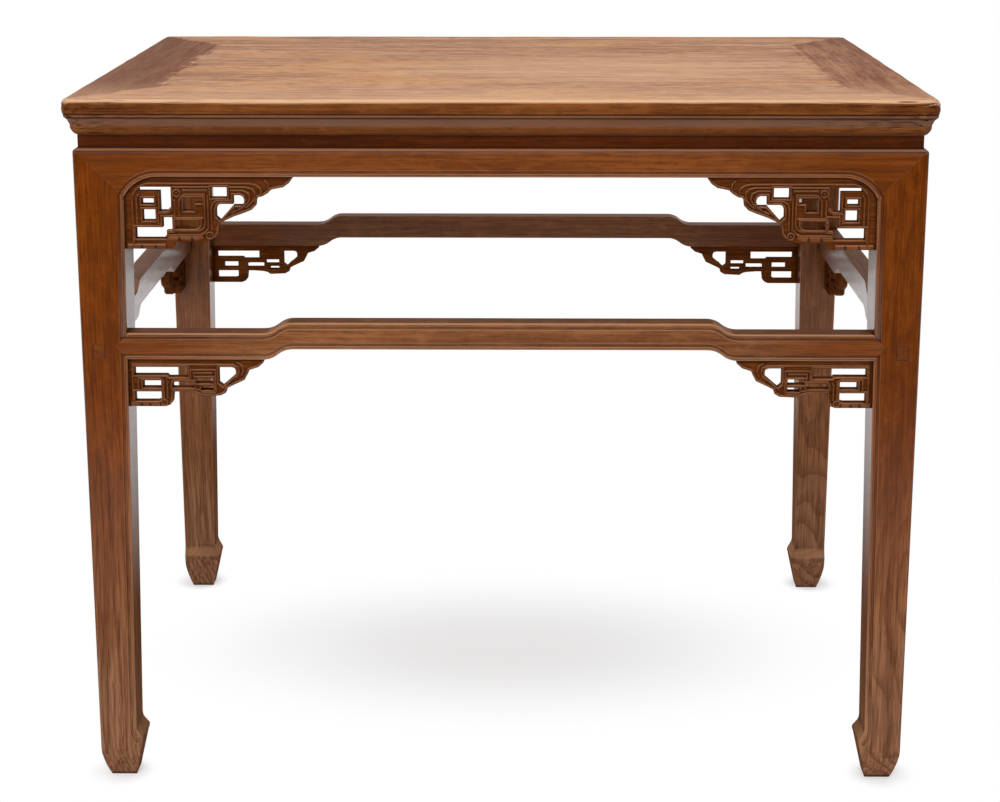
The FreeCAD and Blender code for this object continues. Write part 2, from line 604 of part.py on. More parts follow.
def leg(label, side_x, side_y):
    """A leg with its hoof, its shoulders for the aprons, its post, mortises and bead grooves."""
    body = new_body(label)
    x_face = side_x * SIDE_REACH
    y_face = side_y * FRONT_REACH

    def on_x(outline):
        return placed(outline, x_face, -side_x)

    def on_y(outline):
        return placed(outline, y_face, -side_y)

    def across(depth, inset="0"):
        """The level where a cut begins that lies inside the front or back face."""
        return f"{FRONT_CELL} + {inset}" if side_y < 0 else f"-1 * ({FRONT_CELL} + {inset}) - ({depth})"

    def along(depth, inset="0"):
        """The level where a cut begins that lies inside the left or right face."""
        return f"{SIDE_CELL} + {inset}" if side_x < 0 else f"-1 * ({SIDE_CELL} + {inset}) - ({depth})"

    wide = cell("leg_width")
    column = [(0, mm.sole_round), (0, APRON_TOP), (mm.leg_width, APRON_TOP), (mm.leg_width, CORNER_LOW)]
    column += hoof_flare() + [(mm.sole_setback, 0)]
    column[0] = (0, mm.sole_round) + sole_round()
    pad(body, label + "_column", "XZ_Plane", across(wide), wide, on_x(column))

    out = mm.leg_width + mm.cut_overrun
    inside = [(mm.leg_width, CORNER_LOW)] + hoof_flare() + [(out, 0), (out, CORNER_LOW)]
    toe = [(0, mm.sole_round), (mm.sole_setback, 0) + sole_round(), (-mm.cut_overrun, 0)]
    toe += [(-mm.cut_overrun, mm.sole_round)]
    reach = cell("leg_width + 2 * cut_overrun")
    cut(body, label + "_other_side", "YZ_Plane", f"{along(wide)} - {OVERRUN_CELL}", reach, on_y(inside), on_y(toe))

    shoulder = [(0, APRON_TOP), (mm.leg_width, CORNER_LOW), (mm.leg_width + mm.cut_overrun, CORNER_LOW)]
    shoulder += [(mm.leg_width + mm.cut_overrun, APRON_TOP + mm.cut_overrun), (0, APRON_TOP + mm.cut_overrun)]
    lap = cell("apron_thickness + fit_gap")
    cut(body, label + "_apron_lap", "XZ_Plane", across(lap), lap, on_x(shoulder))
    cut(body, label + "_side_apron_lap", "YZ_Plane", along(lap), lap, on_y(shoulder))
    cut(body, label + "_top_round", "XZ_Plane", across(wide), wide, on_x(top_round()))
    cut(body, label + "_side_top_round", "YZ_Plane", along(wide), wide, on_y(top_round()))

    def plan(near_x, near_y, far_x, far_y):
        """A rectangle in plan by distances in from the two outer faces."""
        return rectangle(x_face - side_x * near_x, y_face - side_y * near_y, x_face - side_x * far_x,
                         y_face - side_y * far_y)

    pad(body, label + "_post", "XY_Plane", f"{APRON_TOP_CELL} - {OVERRUN_CELL}",
        cell("waist_height + cut_overrun"), plan(LAP_IN, LAP_IN, mm.leg_width, mm.leg_width))
    start = LAP_IN + mm.post_tenon_setback
    pad(body, label + "_tenon", "XY_Plane", FRAME_LOW_CELL, cell("post_tenon_height"),
        plan(mm.leg_width - mm.post_tenon_width, start, mm.leg_width, start + mm.post_tenon_width))

    cut(body, label + "_outer_arris", "XY_Plane", "0 mm", APRON_TOP_CELL, outer_arris(x_face, y_face))

    low_in = leg_inner(STRETCHER_LOW)
    high_in = leg_inner(STRETCHER_TOP)
    far = mm.leg_width + mm.cut_overrun
    notch = [(low_in, STRETCHER_LOW), (leg_inner(STRETCHER_MIDDLE) - mm.shoulder_depth, STRETCHER_MIDDLE)]
    notch += [(high_in, STRETCHER_TOP), (far, STRETCHER_TOP), (far, STRETCHER_LOW)]
    lap = cell("shoulder_lap + fit_gap")
    cut(body, label + "_stretcher_shoulder", "XZ_Plane", across(lap), lap, on_x(notch))
    cut(body, label + "_side_stretcher_shoulder", "YZ_Plane", along(lap), lap, on_y(notch))

    back = mm.stretcher_thickness
    front = back - mm.stretcher_tenon_thickness
    gap = mm.fit_gap
    cut(body, label + "_stretcher_mortise", "XY_Plane", f"{STRETCHER_LOW_CELL} + " + cell("long_tenon_lift - fit_gap"),
        cell("long_tenon_height + 2 * fit_gap"), plan(mm.long_tenon_cover - gap, front - gap, far, back + gap))
    cut(body, label + "_through_mortise", "XY_Plane", f"{STRETCHER_LOW_CELL} + " + cell("side_tenon_lift - fit_gap"),
        cell("side_tenon_height + 2 * fit_gap"), plan(front - gap, -mm.cut_overrun, back + gap, far))

    inset = cell("spandrel_setback + ( spandrel_thickness - spandrel_tongue_thickness ) / 2 - fit_gap")
    open_wide = cell("spandrel_tongue_thickness + 2 * fit_gap")
    upper_low = APRON_LOW - mm.upper_height
    lower_low = STRETCHER_LOW - mm.lower_height
    for name, top, low in (("upper", CORNER_LOW, upper_low), ("lower", STRETCHER_LOW, lower_low)):
        depth = mm.spandrel_tongue + gap
        slot = [(leg_inner(top) - depth, top), (far, top), (far, low), (leg_inner(low) - depth, low)]
        cut(body, f"{label}_{name}_slot", "XZ_Plane", across(open_wide, inset), open_wide, on_x(slot))
        cut(body, f"{label}_{name}_side_slot", "YZ_Plane", along(open_wide, inset), open_wide, on_y(slot))

    groove = bead_line(mm.bead_width)
    groove += reversed_outline(bead_line(mm.bead_width + mm.groove_width))
    deep = cell("groove_depth")
    cut(body, label + "_bead_groove", "XZ_Plane", across(deep), deep, on_x(groove))
    cut(body, label + "_side_bead_groove", "YZ_Plane", along(deep), deep, on_y(groove))


def placed(outline, face, direction):
    """An outline drawn from an outer face, set at that face's place."""
    moved = []
    for point in outline:
        moved.append(tuple(face + direction * value if place % 2 == 0 else value
                           for place, value in enumerate(point)))
    return moved


def bead_line(inset):
    """The line at one distance inside a leg's inner edge, from the apron down into the hoof."""
    top = (mm.leg_width - inset, CORNER_LOW + mm.bead_width)
    ankle = (mm.ankle_width - inset, mm.ankle_height)
    tip = (mm.hoof_reach - inset, mm.hoof_top - inset)
    bend = (ankle[0] + (tip[0] - ankle[0]) * BEAD_FLARE_SHARES[0],
            tip[1] + (ankle[1] - tip[1]) * BEAD_FLARE_SHARES[1])
    return [top, ankle, tip + bend]


def reversed_outline(outline):
    """The same line drawn from its other end, with its arc kept."""
    top, ankle, tip = outline
    return [tip[:2], ankle + tip[2:], top]


# The stretchers

def hump(start, low, direction):
    """The two arcs that lift a stretcher by its rise, away from the start point."""
    half = math.atan(mm.hump_rise / mm.hump_run)
    radius = mm.hump_run / (2 * math.sin(2 * half))
    middle = (start + direction * mm.hump_run / 2, low + mm.hump_rise / 2)
    first = (start + direction * radius * math.sin(half), low + radius * (1 - math.cos(half)))
    end = start + direction * mm.hump_run
    last = (end - direction * radius * math.sin(half), low + mm.hump_rise - radius * (1 - math.cos(half)))
    return [middle + first, (end, low + mm.hump_rise) + last]


def hump_line(end, ramp, low):
    """A stretcher's edge from its left end to its right end, over the hump."""
    line = [(-end, low), (-ramp, low)] + hump(-ramp, low, 1)
    falling = hump(ramp, low, -1)
    top, middle = falling[1], falling[0]
    line += [(ramp - mm.hump_run, low + mm.hump_rise), middle[:2] + top[2:], (ramp, low) + middle[2:]]
    return line + [(end, low)]


def backwards(line):
    """The same edge drawn from its other end, with its arcs kept."""
    turned = [line[-1][:2]]
    for index in range(len(line) - 1, 0, -1):
        turned.append(line[index - 1][:2] + line[index][2:])
    return turned


def stretcher(label, angle, span, reach, tenon_lift, tenon_height, tenon_tip):
    """A humpback stretcher with pointed mitred shoulders, a tenon at each end and two beads."""
    body = new_body(label, angle)
    outer = side_cells(reach)
    low_end = span / 2 - leg_inner(STRETCHER_LOW)
    high_end = span / 2 - leg_inner(STRETCHER_TOP)
    middle_end = span / 2 - leg_inner(STRETCHER_MIDDLE)
    ramp = low_end - mm.stretcher_flat
    outline = hump_line(low_end, ramp, STRETCHER_LOW)
    outline += backwards(hump_line(high_end, ramp, STRETCHER_TOP))
    pad(body, label + "_bar", "XZ_Plane", outer, cell("stretcher_thickness"), outline)
    tip = middle_end + mm.shoulder_depth
    point = [(low_end, STRETCHER_LOW), (tip, STRETCHER_MIDDLE), (high_end, STRETCHER_TOP)]
    pad(body, label + "_shoulders", "XZ_Plane", outer, cell("shoulder_lap"), point, mirrored(point))
    base = STRETCHER_LOW + tenon_lift
    tenon = rectangle(low_end - mm.cut_overrun, base, tenon_tip, base + tenon_height)
    pad(body, label + "_tenons", "XZ_Plane",
        f"{outer} + " + cell("stretcher_thickness - stretcher_tenon_thickness"),
        cell("stretcher_tenon_thickness"), tenon, mirrored(tenon))
    run = low_end + mm.bead_width
    for name, level in (("low", STRETCHER_LOW + mm.bead_width),
                        ("high", STRETCHER_TOP - mm.bead_width - mm.groove_width)):
        bead = hump_line(run, ramp, level) + backwards(hump_line(run, ramp, level + mm.groove_width))
        cut(body, f"{label}_{name}_bead_groove", "XZ_Plane", outer, cell("groove_depth"), bead)
    side = SPANDREL_TONGUE_IN - reach - mm.fit_gap
    slot = rectangle(-low_end + mm.corner_arris, side, -low_end + mm.lower_length - mm.corner_drop,
                     side + mm.spandrel_tongue_thickness + 2 * mm.fit_gap)
    cut(body, label + "_spandrel_slots", "XY_Plane", f"{STRETCHER_LOW_CELL} - {OVERRUN_CELL}",
        cell("spandrel_tongue + fit_gap + cut_overrun"), slot, mirrored(slot))


# The fretwork spandrels

def spandrel(label, angle, flipped, span, reach, upper):
    """A sawn spandrel with its openings, and tongues into the leg and the rail above it."""
    body = new_body(label, angle)
    length, height = (mm.upper_length, mm.upper_height) if upper else (mm.lower_length, mm.lower_height)
    top = APRON_LOW if upper else STRETCHER_LOW
    corner = leg_inner(top) - span / 2
    foot = leg_inner(top - height) - span / 2

    def at(shares):
        return (corner + length * shares[0], top - height * shares[1])

    outline_shares = UPPER_OUTLINE_SHARES if upper else LOWER_OUTLINE_SHARES
    opening_shares = UPPER_OPENING_SHARES if upper else LOWER_OPENING_SHARES
    outline = [at(shares) for shares in outline_shares] + [(foot, top - height)]
    if upper:
        radius, turn = corner_curve()
        bend = arc_middle((corner + mm.corner_run, top - radius), radius, -turn / 2)
        outline += [(corner, CORNER_LOW), (corner + mm.corner_run, top) + bend]
    else:
        outline += [(corner, top)]
    y_near = mm.spandrel_setback - reach
    level = f"{side_cells(reach)} + " + cell("spandrel_setback")
    pad(body, label + "_board", "XZ_Plane", level, cell("spandrel_thickness"), outline)
    openings = [[at(shares) for shares in opening] for opening in opening_shares.values()]
    cut(body, label + "_openings", "XZ_Plane", level, cell("spandrel_thickness"), *openings)
    side_top = CORNER_LOW - mm.spandrel_tongue if upper else top - mm.spandrel_tongue
    side_low = top - height + mm.spandrel_tongue
    inside = mm.spandrel_tongue
    side = [(leg_inner(side_top) - span / 2 - inside, side_top), (leg_inner(side_top) - span / 2 + inside, side_top)]
    side += [(leg_inner(side_low) - span / 2 + inside, side_low), (leg_inner(side_low) - span / 2 - inside, side_low)]
    start = mm.corner_run if upper else mm.corner_arris
    stop = length - mm.corner_drop
    head = rectangle(corner + start + mm.fit_gap, top - inside, corner + stop - mm.fit_gap, top + inside)
    tongue_level = f"{level} + " + cell("( spandrel_thickness - spandrel_tongue_thickness ) / 2")
    pad(body, label + "_side_tongue", "XZ_Plane", tongue_level, cell("spandrel_tongue_thickness"), side)
    pad(body, label + "_top_tongue", "XZ_Plane", tongue_level, cell("spandrel_tongue_thickness"), head)
    if flipped:
        middle = 2 * y_near + mm.spandrel_thickness
        turn_over = Placement(Vector(0, middle, 0), Rotation(Vector(0, 0, 1), 180))
        body.Placement = body.Placement.multiply(turn_over)


def build_table():
    """Makes every piece of the table."""
    top_rail("top_rail_front", 0)
    top_rail("top_rail_back", 180)
    top_end("top_end_right", 90)
    top_end("top_end_left", 270)
    for number, name in enumerate(("front", "middle", "back")):
        panel_board("panel_board_" + name, number)
    for name, share in zip(("left", "middle", "right"), BATTEN_PLACE_SHARES):
        panel_batten("panel_batten_" + name, share)
    sides = (("front", 0, BODY_WIDTH, FRONT_REACH), ("right", 90, BODY_DEPTH, SIDE_REACH),
             ("back", 180, BODY_WIDTH, FRONT_REACH), ("left", 270, BODY_DEPTH, SIDE_REACH))
    ends = {"front": ("left", "right"), "right": ("front", "back"), "back": ("right", "left"),
            "left": ("back", "front")}
    for name, angle, span, reach in sides:
        waist("waist_" + name, angle, span, reach)
        apron("apron_" + name, angle, span, reach)
        if name in ("front", "back"):
            tip = span / 2 - mm.long_tenon_cover
            stretcher("stretcher_" + name, angle, span, reach, mm.long_tenon_lift, mm.long_tenon_height, tip)
        else:
            stretcher("stretcher_" + name, angle, span, reach, mm.side_tenon_lift, mm.side_tenon_height, span / 2)
        for flipped, end in enumerate(ends[name]):
            spandrel(f"spandrel_upper_{name}_{end}", angle, bool(flipped), span, reach, True)
            spandrel(f"spandrel_lower_{name}_{end}", angle, bool(flipped), span, reach, False)
    for name_y, side_y in (("front", -1), ("back", 1)):
        for name_x, side_x in (("left", -1), ("right", 1)):
            leg(f"leg_{name_y}_{name_x}", side_x, side_y)


def check_and_write():
    """Stops if anything failed; otherwise writes each piece to its own file."""
    for item in DOC.Objects:
        if "Invalid" in item.State or "Error" in item.State:
            raise RuntimeError(f"{item.Label} is {item.State}")
    for piece in PIECES:
        if piece.Shape.isNull() or not piece.Shape.isValid() or len(piece.Shape.Solids) != 1:
            raise RuntimeError(f"{piece.Label} has no single valid solid")
    os.makedirs("parts", exist_ok=True)
    for piece in PIECES:
        piece.Shape.exportStep(f"parts/{piece.Label}.step")
    print(len(PIECES), "pieces written")


build_table()
DOC.recompute()
check_and_write()
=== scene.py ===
import math

import bmesh
import bpy
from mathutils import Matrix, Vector, noise


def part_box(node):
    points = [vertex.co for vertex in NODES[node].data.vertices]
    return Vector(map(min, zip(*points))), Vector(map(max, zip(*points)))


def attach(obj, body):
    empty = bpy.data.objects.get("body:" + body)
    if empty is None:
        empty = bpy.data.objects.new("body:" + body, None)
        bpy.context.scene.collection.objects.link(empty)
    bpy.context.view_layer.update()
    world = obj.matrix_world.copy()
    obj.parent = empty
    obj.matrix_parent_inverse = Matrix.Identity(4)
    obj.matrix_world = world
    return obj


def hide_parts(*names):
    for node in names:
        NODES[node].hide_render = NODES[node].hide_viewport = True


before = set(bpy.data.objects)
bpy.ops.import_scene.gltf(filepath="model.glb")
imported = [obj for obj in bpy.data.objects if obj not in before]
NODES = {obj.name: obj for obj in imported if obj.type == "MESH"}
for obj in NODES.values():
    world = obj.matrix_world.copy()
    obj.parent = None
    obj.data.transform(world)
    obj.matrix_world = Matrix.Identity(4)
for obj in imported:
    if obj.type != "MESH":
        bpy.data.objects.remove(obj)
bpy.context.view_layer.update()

# Camera fitted to the photograph: its place in metres, angles in radians, lens in millimetres and shift
CAMERA_PLACE = (0.0251, -2.7901, 1.1700)
CAMERA_PITCH = 0.2398
CAMERA_YAW = 0.0103
CAMERA_LENS = 75.15
CAMERA_SHIFT = -0.066

# Lamps: place, the point that each looks at, width and depth in metres, and power in watts
LAMP_ABOVE = ((0.0, -0.3, 3.2), (0.0, 0.0, 0.8), (2.6, 2.0), 28.0)
LAMP_FRONT = ((-0.5, -3.7, 2.0), (0.0, 0.0, 0.5), (2.6, 1.6), 128.0)

# Studio light by direction: the range over which it changes, and its level at both ends
SKY_ABOVE = (0.2, 1.0, 0.0, 0.30)
SKY_AROUND = (-0.25, 0.8, 0.06, 1.0)
SKY_MIRRORED = (0.0, 0.3, 0.02, 1.0)

# Floor that the camera sees: how it takes light and shade under the table, and where that fades
FLOOR_SIZE = 40.0
FLOOR_MIDDLE = (0.0, -0.08, 0.0)
FLOOR_SQUEEZE = (0.6, 1.0, 1.0)
FLOOR_LIT = (0.04, 0.33, 0.62, 0.0)

# Shade beside each foot: its middle, in from the leg's outer corner, where it fades, and its strength
FOOT_INSET = 0.02
FOOT_SHADE = (0.02, 0.048, 0.6, 0.0)

# Floor that light falls back from: the depths where it turns pale, its greys there, and the depths where its
# mirror image turns white
FLOOR_GREYS = (-2.2, -0.4, 0.06, 0.75)
MIRROR_DEPTHS = (-2.0, -1.0)

# Places read from the frame, in metres
LEG_NEAR, LEG_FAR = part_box("leg_front_right")
BODY_X = LEG_FAR.x
BODY_Y = -LEG_NEAR.y
LEG_INNER_X = LEG_NEAR.x
LEG_INNER_Y = -LEG_FAR.y
APRON_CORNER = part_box("apron_front")[0].z
STRETCHER_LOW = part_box("stretcher_front")[0].z
FRAME_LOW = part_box("top_end_right")[0]
FRAME_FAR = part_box("top_end_right")[1]
PANEL_END_X = FRAME_LOW.x
PANEL_END_Y = -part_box("top_rail_front")[1].y
MITRE_SLOPE = (FRAME_FAR.x - PANEL_END_X) / (FRAME_FAR.y - PANEL_END_Y)

# Moulded edge of the top, as shares of its height: its cut lines with painted shade, its bead with a painted
# highlight, its dusty cove and its darker foot
EDGE_LINE_SHARES = (0.402, 0.503)
EDGE_LINE_WIDTH = 0.032
EDGE_BEAD_SHARE = 0.452
EDGE_BEAD_WIDTH = 0.05
EDGE_COVE_SHARES = (0.50, 0.56, 0.68, 0.80)
EDGE_FOOT_SHARES = (0.80, 0.90)

# Worn corners of the top: their radius in plan, and the step and number of the cuts that let them bend
CORNER_RADIUS = 0.011
CORNER_STEP = 0.0016
CORNER_CUTS = 17

# Worn upper arris of the top: how far in its wear reaches, how deep it goes along a side and at a corner, the
# share of that by which it sinks, and the step between its cuts
WEAR_REACH = 0.012
WEAR_DEPTH = 0.0011
CORNER_WEAR = 0.0045
WEAR_SINK = 0.6
WEAR_STEP = 0.013

# Unevenness of that wear: its mean, and the scale and strength of its waves
WEAR_MEAN = 0.5
WEAR_WAVES = ((19, 0.6), (55, 0.35))

# Rounding of the edges, and the places on a piece that it depends on, in metres
ARRIS_ROUND = 0.0022
GROOVE_ROUND = 0.0011
INNER_ROUND = 0.0008
ROUND_SEGMENTS = 3
GROOVE_DEPTH = 0.0014
INNER_EDGE = 0.03
STRETCHER_HEIGHT = 0.033
SHOULDER_START = 0.005

# Distances below which two places count as near each other and as the same
NEAR = 0.00005
SAME = NEAR / 5

# Turns that count as sharp on a piece and on its carving, as flat between faces, and as straight along a line
SHARP_TURN = math.radians(35)
CARVED_TURN = math.radians(50)
FLAT_TURN = math.radians(0.5)
STRAIGHT_TURN = math.radians(2)

# Spandrels: their length from the leg to the tip, their tongue in the rail, and how squarely the faces
# of their outer side look outward
UPPER_LENGTH = 0.2006
LOWER_LENGTH = 0.165
SPANDREL_TONGUE = 0.004
FACING = 0.99

# Carved beads on the spandrels: width, height, how far inside the edge that they follow, and the section
# in shares of width and height
BEAD_WIDTH = 0.0029
BEAD_LIFT = 0.0017
BEAD_INSET = 0.0017
BEAD_SECTION = ((-0.5, -0.2), (-0.38, 0.55), (-0.14, 0.96), (0.14, 0.96), (0.38, 0.55), (0.5, -0.2))

# Mitres of the beads: the longest step to the side, and the least number that a step is divided by
MITRE_LIMIT = 2.5
MITRE_LEAST = 0.2

# Edges of a spandrel without a bead: by the rail, by the leg, in their corner, and under a band
BARE_DROP = 0.0006
BARE_ALONG = 0.0025
CORNER_REACH = 0.0395
CORNER_DROP = 0.0246
UPPER_BARE = 0.0755
LOWER_BARE = 0.0545

# Carved lines in millimetres: along the rail from the leg, and down from the rail
MILLIMETRES = 1000
UPPER_LINES = (
    ((9, 86), (9, 27), (10.5, 20.5), (15, 14), (21, 10), (27, 8.6), (56, 8.6)),
    ((56, 8.6), (148, 8.6), (155.5, 10), (160.5, 13.5), (162.3, 18), (161, 22)),
    ((56.5, 12.6), (101, 12.6)),
    ((122.5, 12.6), (144, 12.6), (151, 14.5), (154.5, 19), (154, 26), (150, 32), (143, 37.5)),
    ((166, 3.5), (170.5, 9), (171, 15)),
    ((125, 16.6), (140, 16.6), (146.5, 19.5), (148.5, 26), (146, 31.5), (140, 36.5), (126, 44)),
    ((14, 58.5), (14, 25), (17.5, 20.2)),
    ((68.5, 16.4), (98.5, 16.4)),
    ((64.4, 48), (64.4, 29.5), (66.2, 24.5), (70.5, 21.6), (94.6, 21.6), (94.6, 58), (92.2, 62.6),
     (87.5, 65), (50.5, 65)),
    ((59, 27), (59, 49.5), (64, 49.8), (93, 49.8)),
    ((50, 70.4), (88, 70.4), (93.6, 68), (98.4, 62), (98.4, 21.5)),
    ((102.4, 64.5), (102.4, 38), (104.2, 32.2), (109, 28.8), (126, 28.6)),
    ((38.5, 44.2), (50.5, 44.2), (56.5, 39), (56.5, 27)),
    ((39.5, 57.5), (39.5, 46.5)),
)
LOWER_LINES = (
    ((4, 56), (4, 7), (126, 7), (132, 9.5), (133.6, 15), (131, 21.5), (118, 30.5)),
    ((130, 3.6), (136.5, 7.5), (138.5, 14), (136, 20.5)),
    ((74.4, 25.5), (74.4, 13.6), (104.6, 13.6), (104.6, 41.5)),
    ((78.2, 22.8), (78.2, 17.4), (101, 17.4)),
    ((52, 25.6), (74.4, 25.6)),
    ((41.5, 24.5), (41.5, 50)),
    ((47.5, 27.5), (45.8, 31.5), (45.8, 50)),
    ((10.5, 24), (38, 24)),
    ((11, 24), (11, 38.4)),
    ((56, 38.4), (84, 38.4), (88.5, 42.2), (104, 42.2)),
    ((6, 55.4), (34.5, 55.4)),
)

# Carved rings, as a place and a radius, then wide bands and dark cuts of painted shade, in the same
# millimetres
UPPER_CURLS = ((61.6, 19.8, 4.2), (99.6, 70.8, 4))
LOWER_CURLS = ((41.8, 54.6, 3.6),)
UPPER_BANDS = (((1.5, 83.7), (47, 83.7)), ((50, 74), (84, 74), (92, 71.6)))
LOWER_BANDS = (((1.5, 56.2), (36, 56.2)),)
UPPER_MARKS = ((18.8, 83.7), (35, 83.7), (63.5, 74.2), (78.5, 74.2), (133.5, 38), (140.5, 35.4))
LOWER_MARKS = ((14, 56.2), (24.5, 56.2))

# Rings: their steps, the share of the radius that the boss takes, and the boss's section
CURL_STEPS = 14
BOSS_SHARE = 0.42
BOSS_SECTION = ((0.55, 0.85), (0.85, 0.5), (1.0, -0.1))

# Bands and dark cuts of painted shade: their sizes in metres, and a cut's outline in shares of its width and
# height
BAND_WIDTH = 0.0064
BAND_LIFT = 0.0016
MARK_WIDTH = 0.0038
MARK_HEIGHT = 0.0048
MARK_LIFT = 0.0017
MARK_OUTLINE = ((0.0, 0.5), (0.32, 0.05), (0.5, -0.25), (0.3, -0.5),
                (-0.3, -0.5), (-0.5, -0.25), (-0.32, 0.05))

# How the grain turns to follow an axis, and each side's axis, outward way and outer plane
GRAIN_TURNS = {"X": (0.0, 0.0, 0.0), "Y": (0.0, 0.0, math.pi / 2), "Z": (0.0, math.pi / 2, 0.0)}
SIDE_GRAIN = {"front": "X", "back": "X", "left": "Y", "right": "Y"}
SIDE_NORMALS = {"front": Vector((0, -1, 0)), "back": Vector((0, 1, 0)), "left": Vector((-1, 0, 0)),
                "right": Vector((1, 0, 0))}
OUTER_PLANES = {"front": (1, -BODY_Y), "back": (1, BODY_Y), "left": (0, -BODY_X), "right": (0, BODY_X)}


def linear(red, green, blue):
    """A colour given as 0 to 255 display values, as the shaders want it."""
    def one(value):
        share = value / 255
        return share / 12.92 if share <= 0.04045 else ((share + 0.055) / 1.055) ** 2.4
    return (one(red), one(green), one(blue), 1.0)


# Tones of the wood, as light, middle and dark display colours
TOP_TONES = (linear(203, 160, 126), linear(176, 133, 103), linear(132, 85, 59))
END_TONES = (linear(168, 118, 88), linear(148, 98, 70), linear(100, 58, 38))
EDGE_TONES = (linear(136, 80, 38), linear(116, 64, 26), linear(84, 42, 14))
# The waist's tones are darkened with painted shade: the shade it lies in under the top's overhang
WAIST_TONES = (linear(92, 40, 6), linear(75, 30, 3), linear(54, 18, 1))
APRON_TONES = (linear(142, 78, 32), linear(118, 61, 20), linear(86, 40, 10))
LEG_TONES = (linear(132, 65, 12), linear(111, 52, 4), linear(80, 34, 3))
# The back legs' tones are a paler copy of the leg tones: painted light for legs that stand in more shade
BACK_LEG_TONES = (linear(158, 94, 46), linear(136, 79, 36), linear(98, 52, 22))
FOOT_TONES = (linear(162, 117, 87), linear(137, 93, 67), linear(84, 50, 33))
STRETCHER_TONES = (linear(154, 98, 58), linear(130, 78, 43), linear(90, 48, 22))
FRET_TONES = (linear(126, 68, 28), linear(104, 53, 20), linear(66, 31, 10))
# The bead tones are lighter than the fret's: a painted highlight on the raised beads
BEAD_TONES = (linear(142, 82, 42), linear(118, 65, 29), linear(84, 43, 17))
BATTEN_TONES = (linear(126, 92, 66), linear(104, 74, 52), linear(70, 48, 33))

# Single colours of the wear and the dirt, some of which also stand for painted highlight and painted shade
TOP_GOLD = linear(194, 142, 98)
WORN_TOP_AND_HIGHLIGHT = linear(208, 165, 129)
WORN_BODY_AND_HIGHLIGHT = linear(176, 128, 94)
GRIME_AND_SHADE = linear(36, 15, 5)
DUST_AND_HIGHLIGHT = linear(118, 86, 69)
GREY = linear(146, 116, 98)
WHITE = (1.0, 1.0, 1.0, 1.0)

# Patterns of the grain: how far they are squeezed along the fibres, then the noise's scale, detail, roughness
# and distortion
STREAKS = (0.12, 26.0, 5.0, 0.6, 0.3)
STROKES = (0.13, 55.0, 4.0, 0.6, 0.3)
LINES = (0.022, 210.0, 3.0, 0.65)
PATCHES = (0.3, 6.0, 3.0, 0.5, 0.4)
FIBRES = (0.022, 900.0, 2.0, 0.5)
PORES = (0.045, 520.0, 2.0, 0.5)
SWAY = (0.35, 7.0, 2.0, 0.5)
FLECKS = (0.5, 80.0, 4.0, 0.65)
GOLDEN = (0.45, 6.0, 3.0, 0.6, 0.4)
SMUDGES = (0.45, 24.0, 3.0, 0.6, 0.5)
SMUDGED = (0.5, 5.0, 2.0, 0.5)

# How strongly a pattern tells: the range of its noise, and the strength at both ends of it
STREAK_SPREAD = 0.14
MEAN_RANGE = (0.30, 0.62, 0.30, 0.75)
DEEP_STROKES = (0.52, 0.62, 0.0, 0.7)
BRIGHT_STROKES = (0.48, 0.38, 0.0, 0.5)
DEEP_LINES = (0.48, 0.60, 0.0, 0.5)
BRIGHT_LINES = (0.46, 0.34, 0.0, 0.30)
RING_RANGE = (0.35, 1.0)
BRIGHT_FIBRES = (0.48, 0.66, 0.0, 0.35)
PORE_RANGE = (0.53, 0.66)
PORE_STRENGTH = 0.6
DARK_FLECKS = (0.50, 0.68, 0.0)
LIGHT_FLECKS = (0.48, 0.34, 0.0, 0.35)
GOLDEN_RANGE = (0.46, 0.62, 0.0, 0.65)
SMUDGE_RANGE = (0.57, 0.68)
SMUDGED_RANGE = (0.44, 0.6, 0.1, 0.75)

# Growth rings: the pith's place beside the piece, how far they sway, and the texture's radians to a unit
PITH = (0.0, 0.81, 0.17)
SWAY_ACROSS = 0.055
SWAY_UP = 0.03
WAVE_RADIANS = 20

# Places of their own in the grain: for each axis, the number of places and the step between them
SEED_STEPS = ((17, 0.37), (11, 0.053), (13, 0.041))
BEAD_SEED = (0.4, 0.2, 0.1)

# Strength of the dark flecks in each kind of wood
EDGE_FLECKS = 0.45
TOP_FLECKS = 0.55
BODY_FLECKS = 0.4

# Moulded edge: its rings, its darker foot, its patches of dust and painted highlight, and its dark lines of
# painted shade with their full middle
EDGE_FIGURE = 0.3
EDGE_FOOT = 0.45
DUST_AND_HIGHLIGHT_RANGE = (0.25, 0.7, 0.45, 1.0)
EDGE_LINE = 0.75
LINE_CORE = 0.25

# Stain of the top's end members: its uneven border, its mottles, and how much darker the left end is
STAIN = 0.9
STAIN_NOISE = (45.0, 4.0, 0.6)
STAIN_SWAY = 0.06
STAIN_BORDER = 0.006
MOTTLE_NOISE = (70.0, 4.0, 0.65)
MOTTLE_RANGE = (0.50, 0.68, 0.0, 0.7)
LEFT_STAIN = 0.65

# Pale wear of the top: towards its front, and round its middle
FRONT_WEAR_START = -0.6
FRONT_WEAR = 0.35
WORN_MIDDLE = (-0.07, 0.06, 0.0)
WORN_SQUEEZE = (0.6, 1.0, 0.0)
WORN_SWAY = 0.1
WORN_RANGE = (0.10, 0.28, 0.45, 0.0)

# Upper arris of the top: the width of its rubbing, and how far a face leans where it is rubbed paler with a
# painted highlight and where it is stained
ARRIS_SMOOTHING = 0.0015
LEAN_RANGE = (0.25, 0.75, 1.35, 0.75)
RUBBED_AND_HIGHLIT_LEAN = (0.004, 0.12, 0.0, 0.85)
STAINED_LEAN = (0.40, 0.80)

# Ends of the rails: where they darken, as shares of the rail's reach, and how strongly
END_SWAY = -0.08
END_START = 0.55
END_FULL = 0.85
END_STRENGTH = 0.8

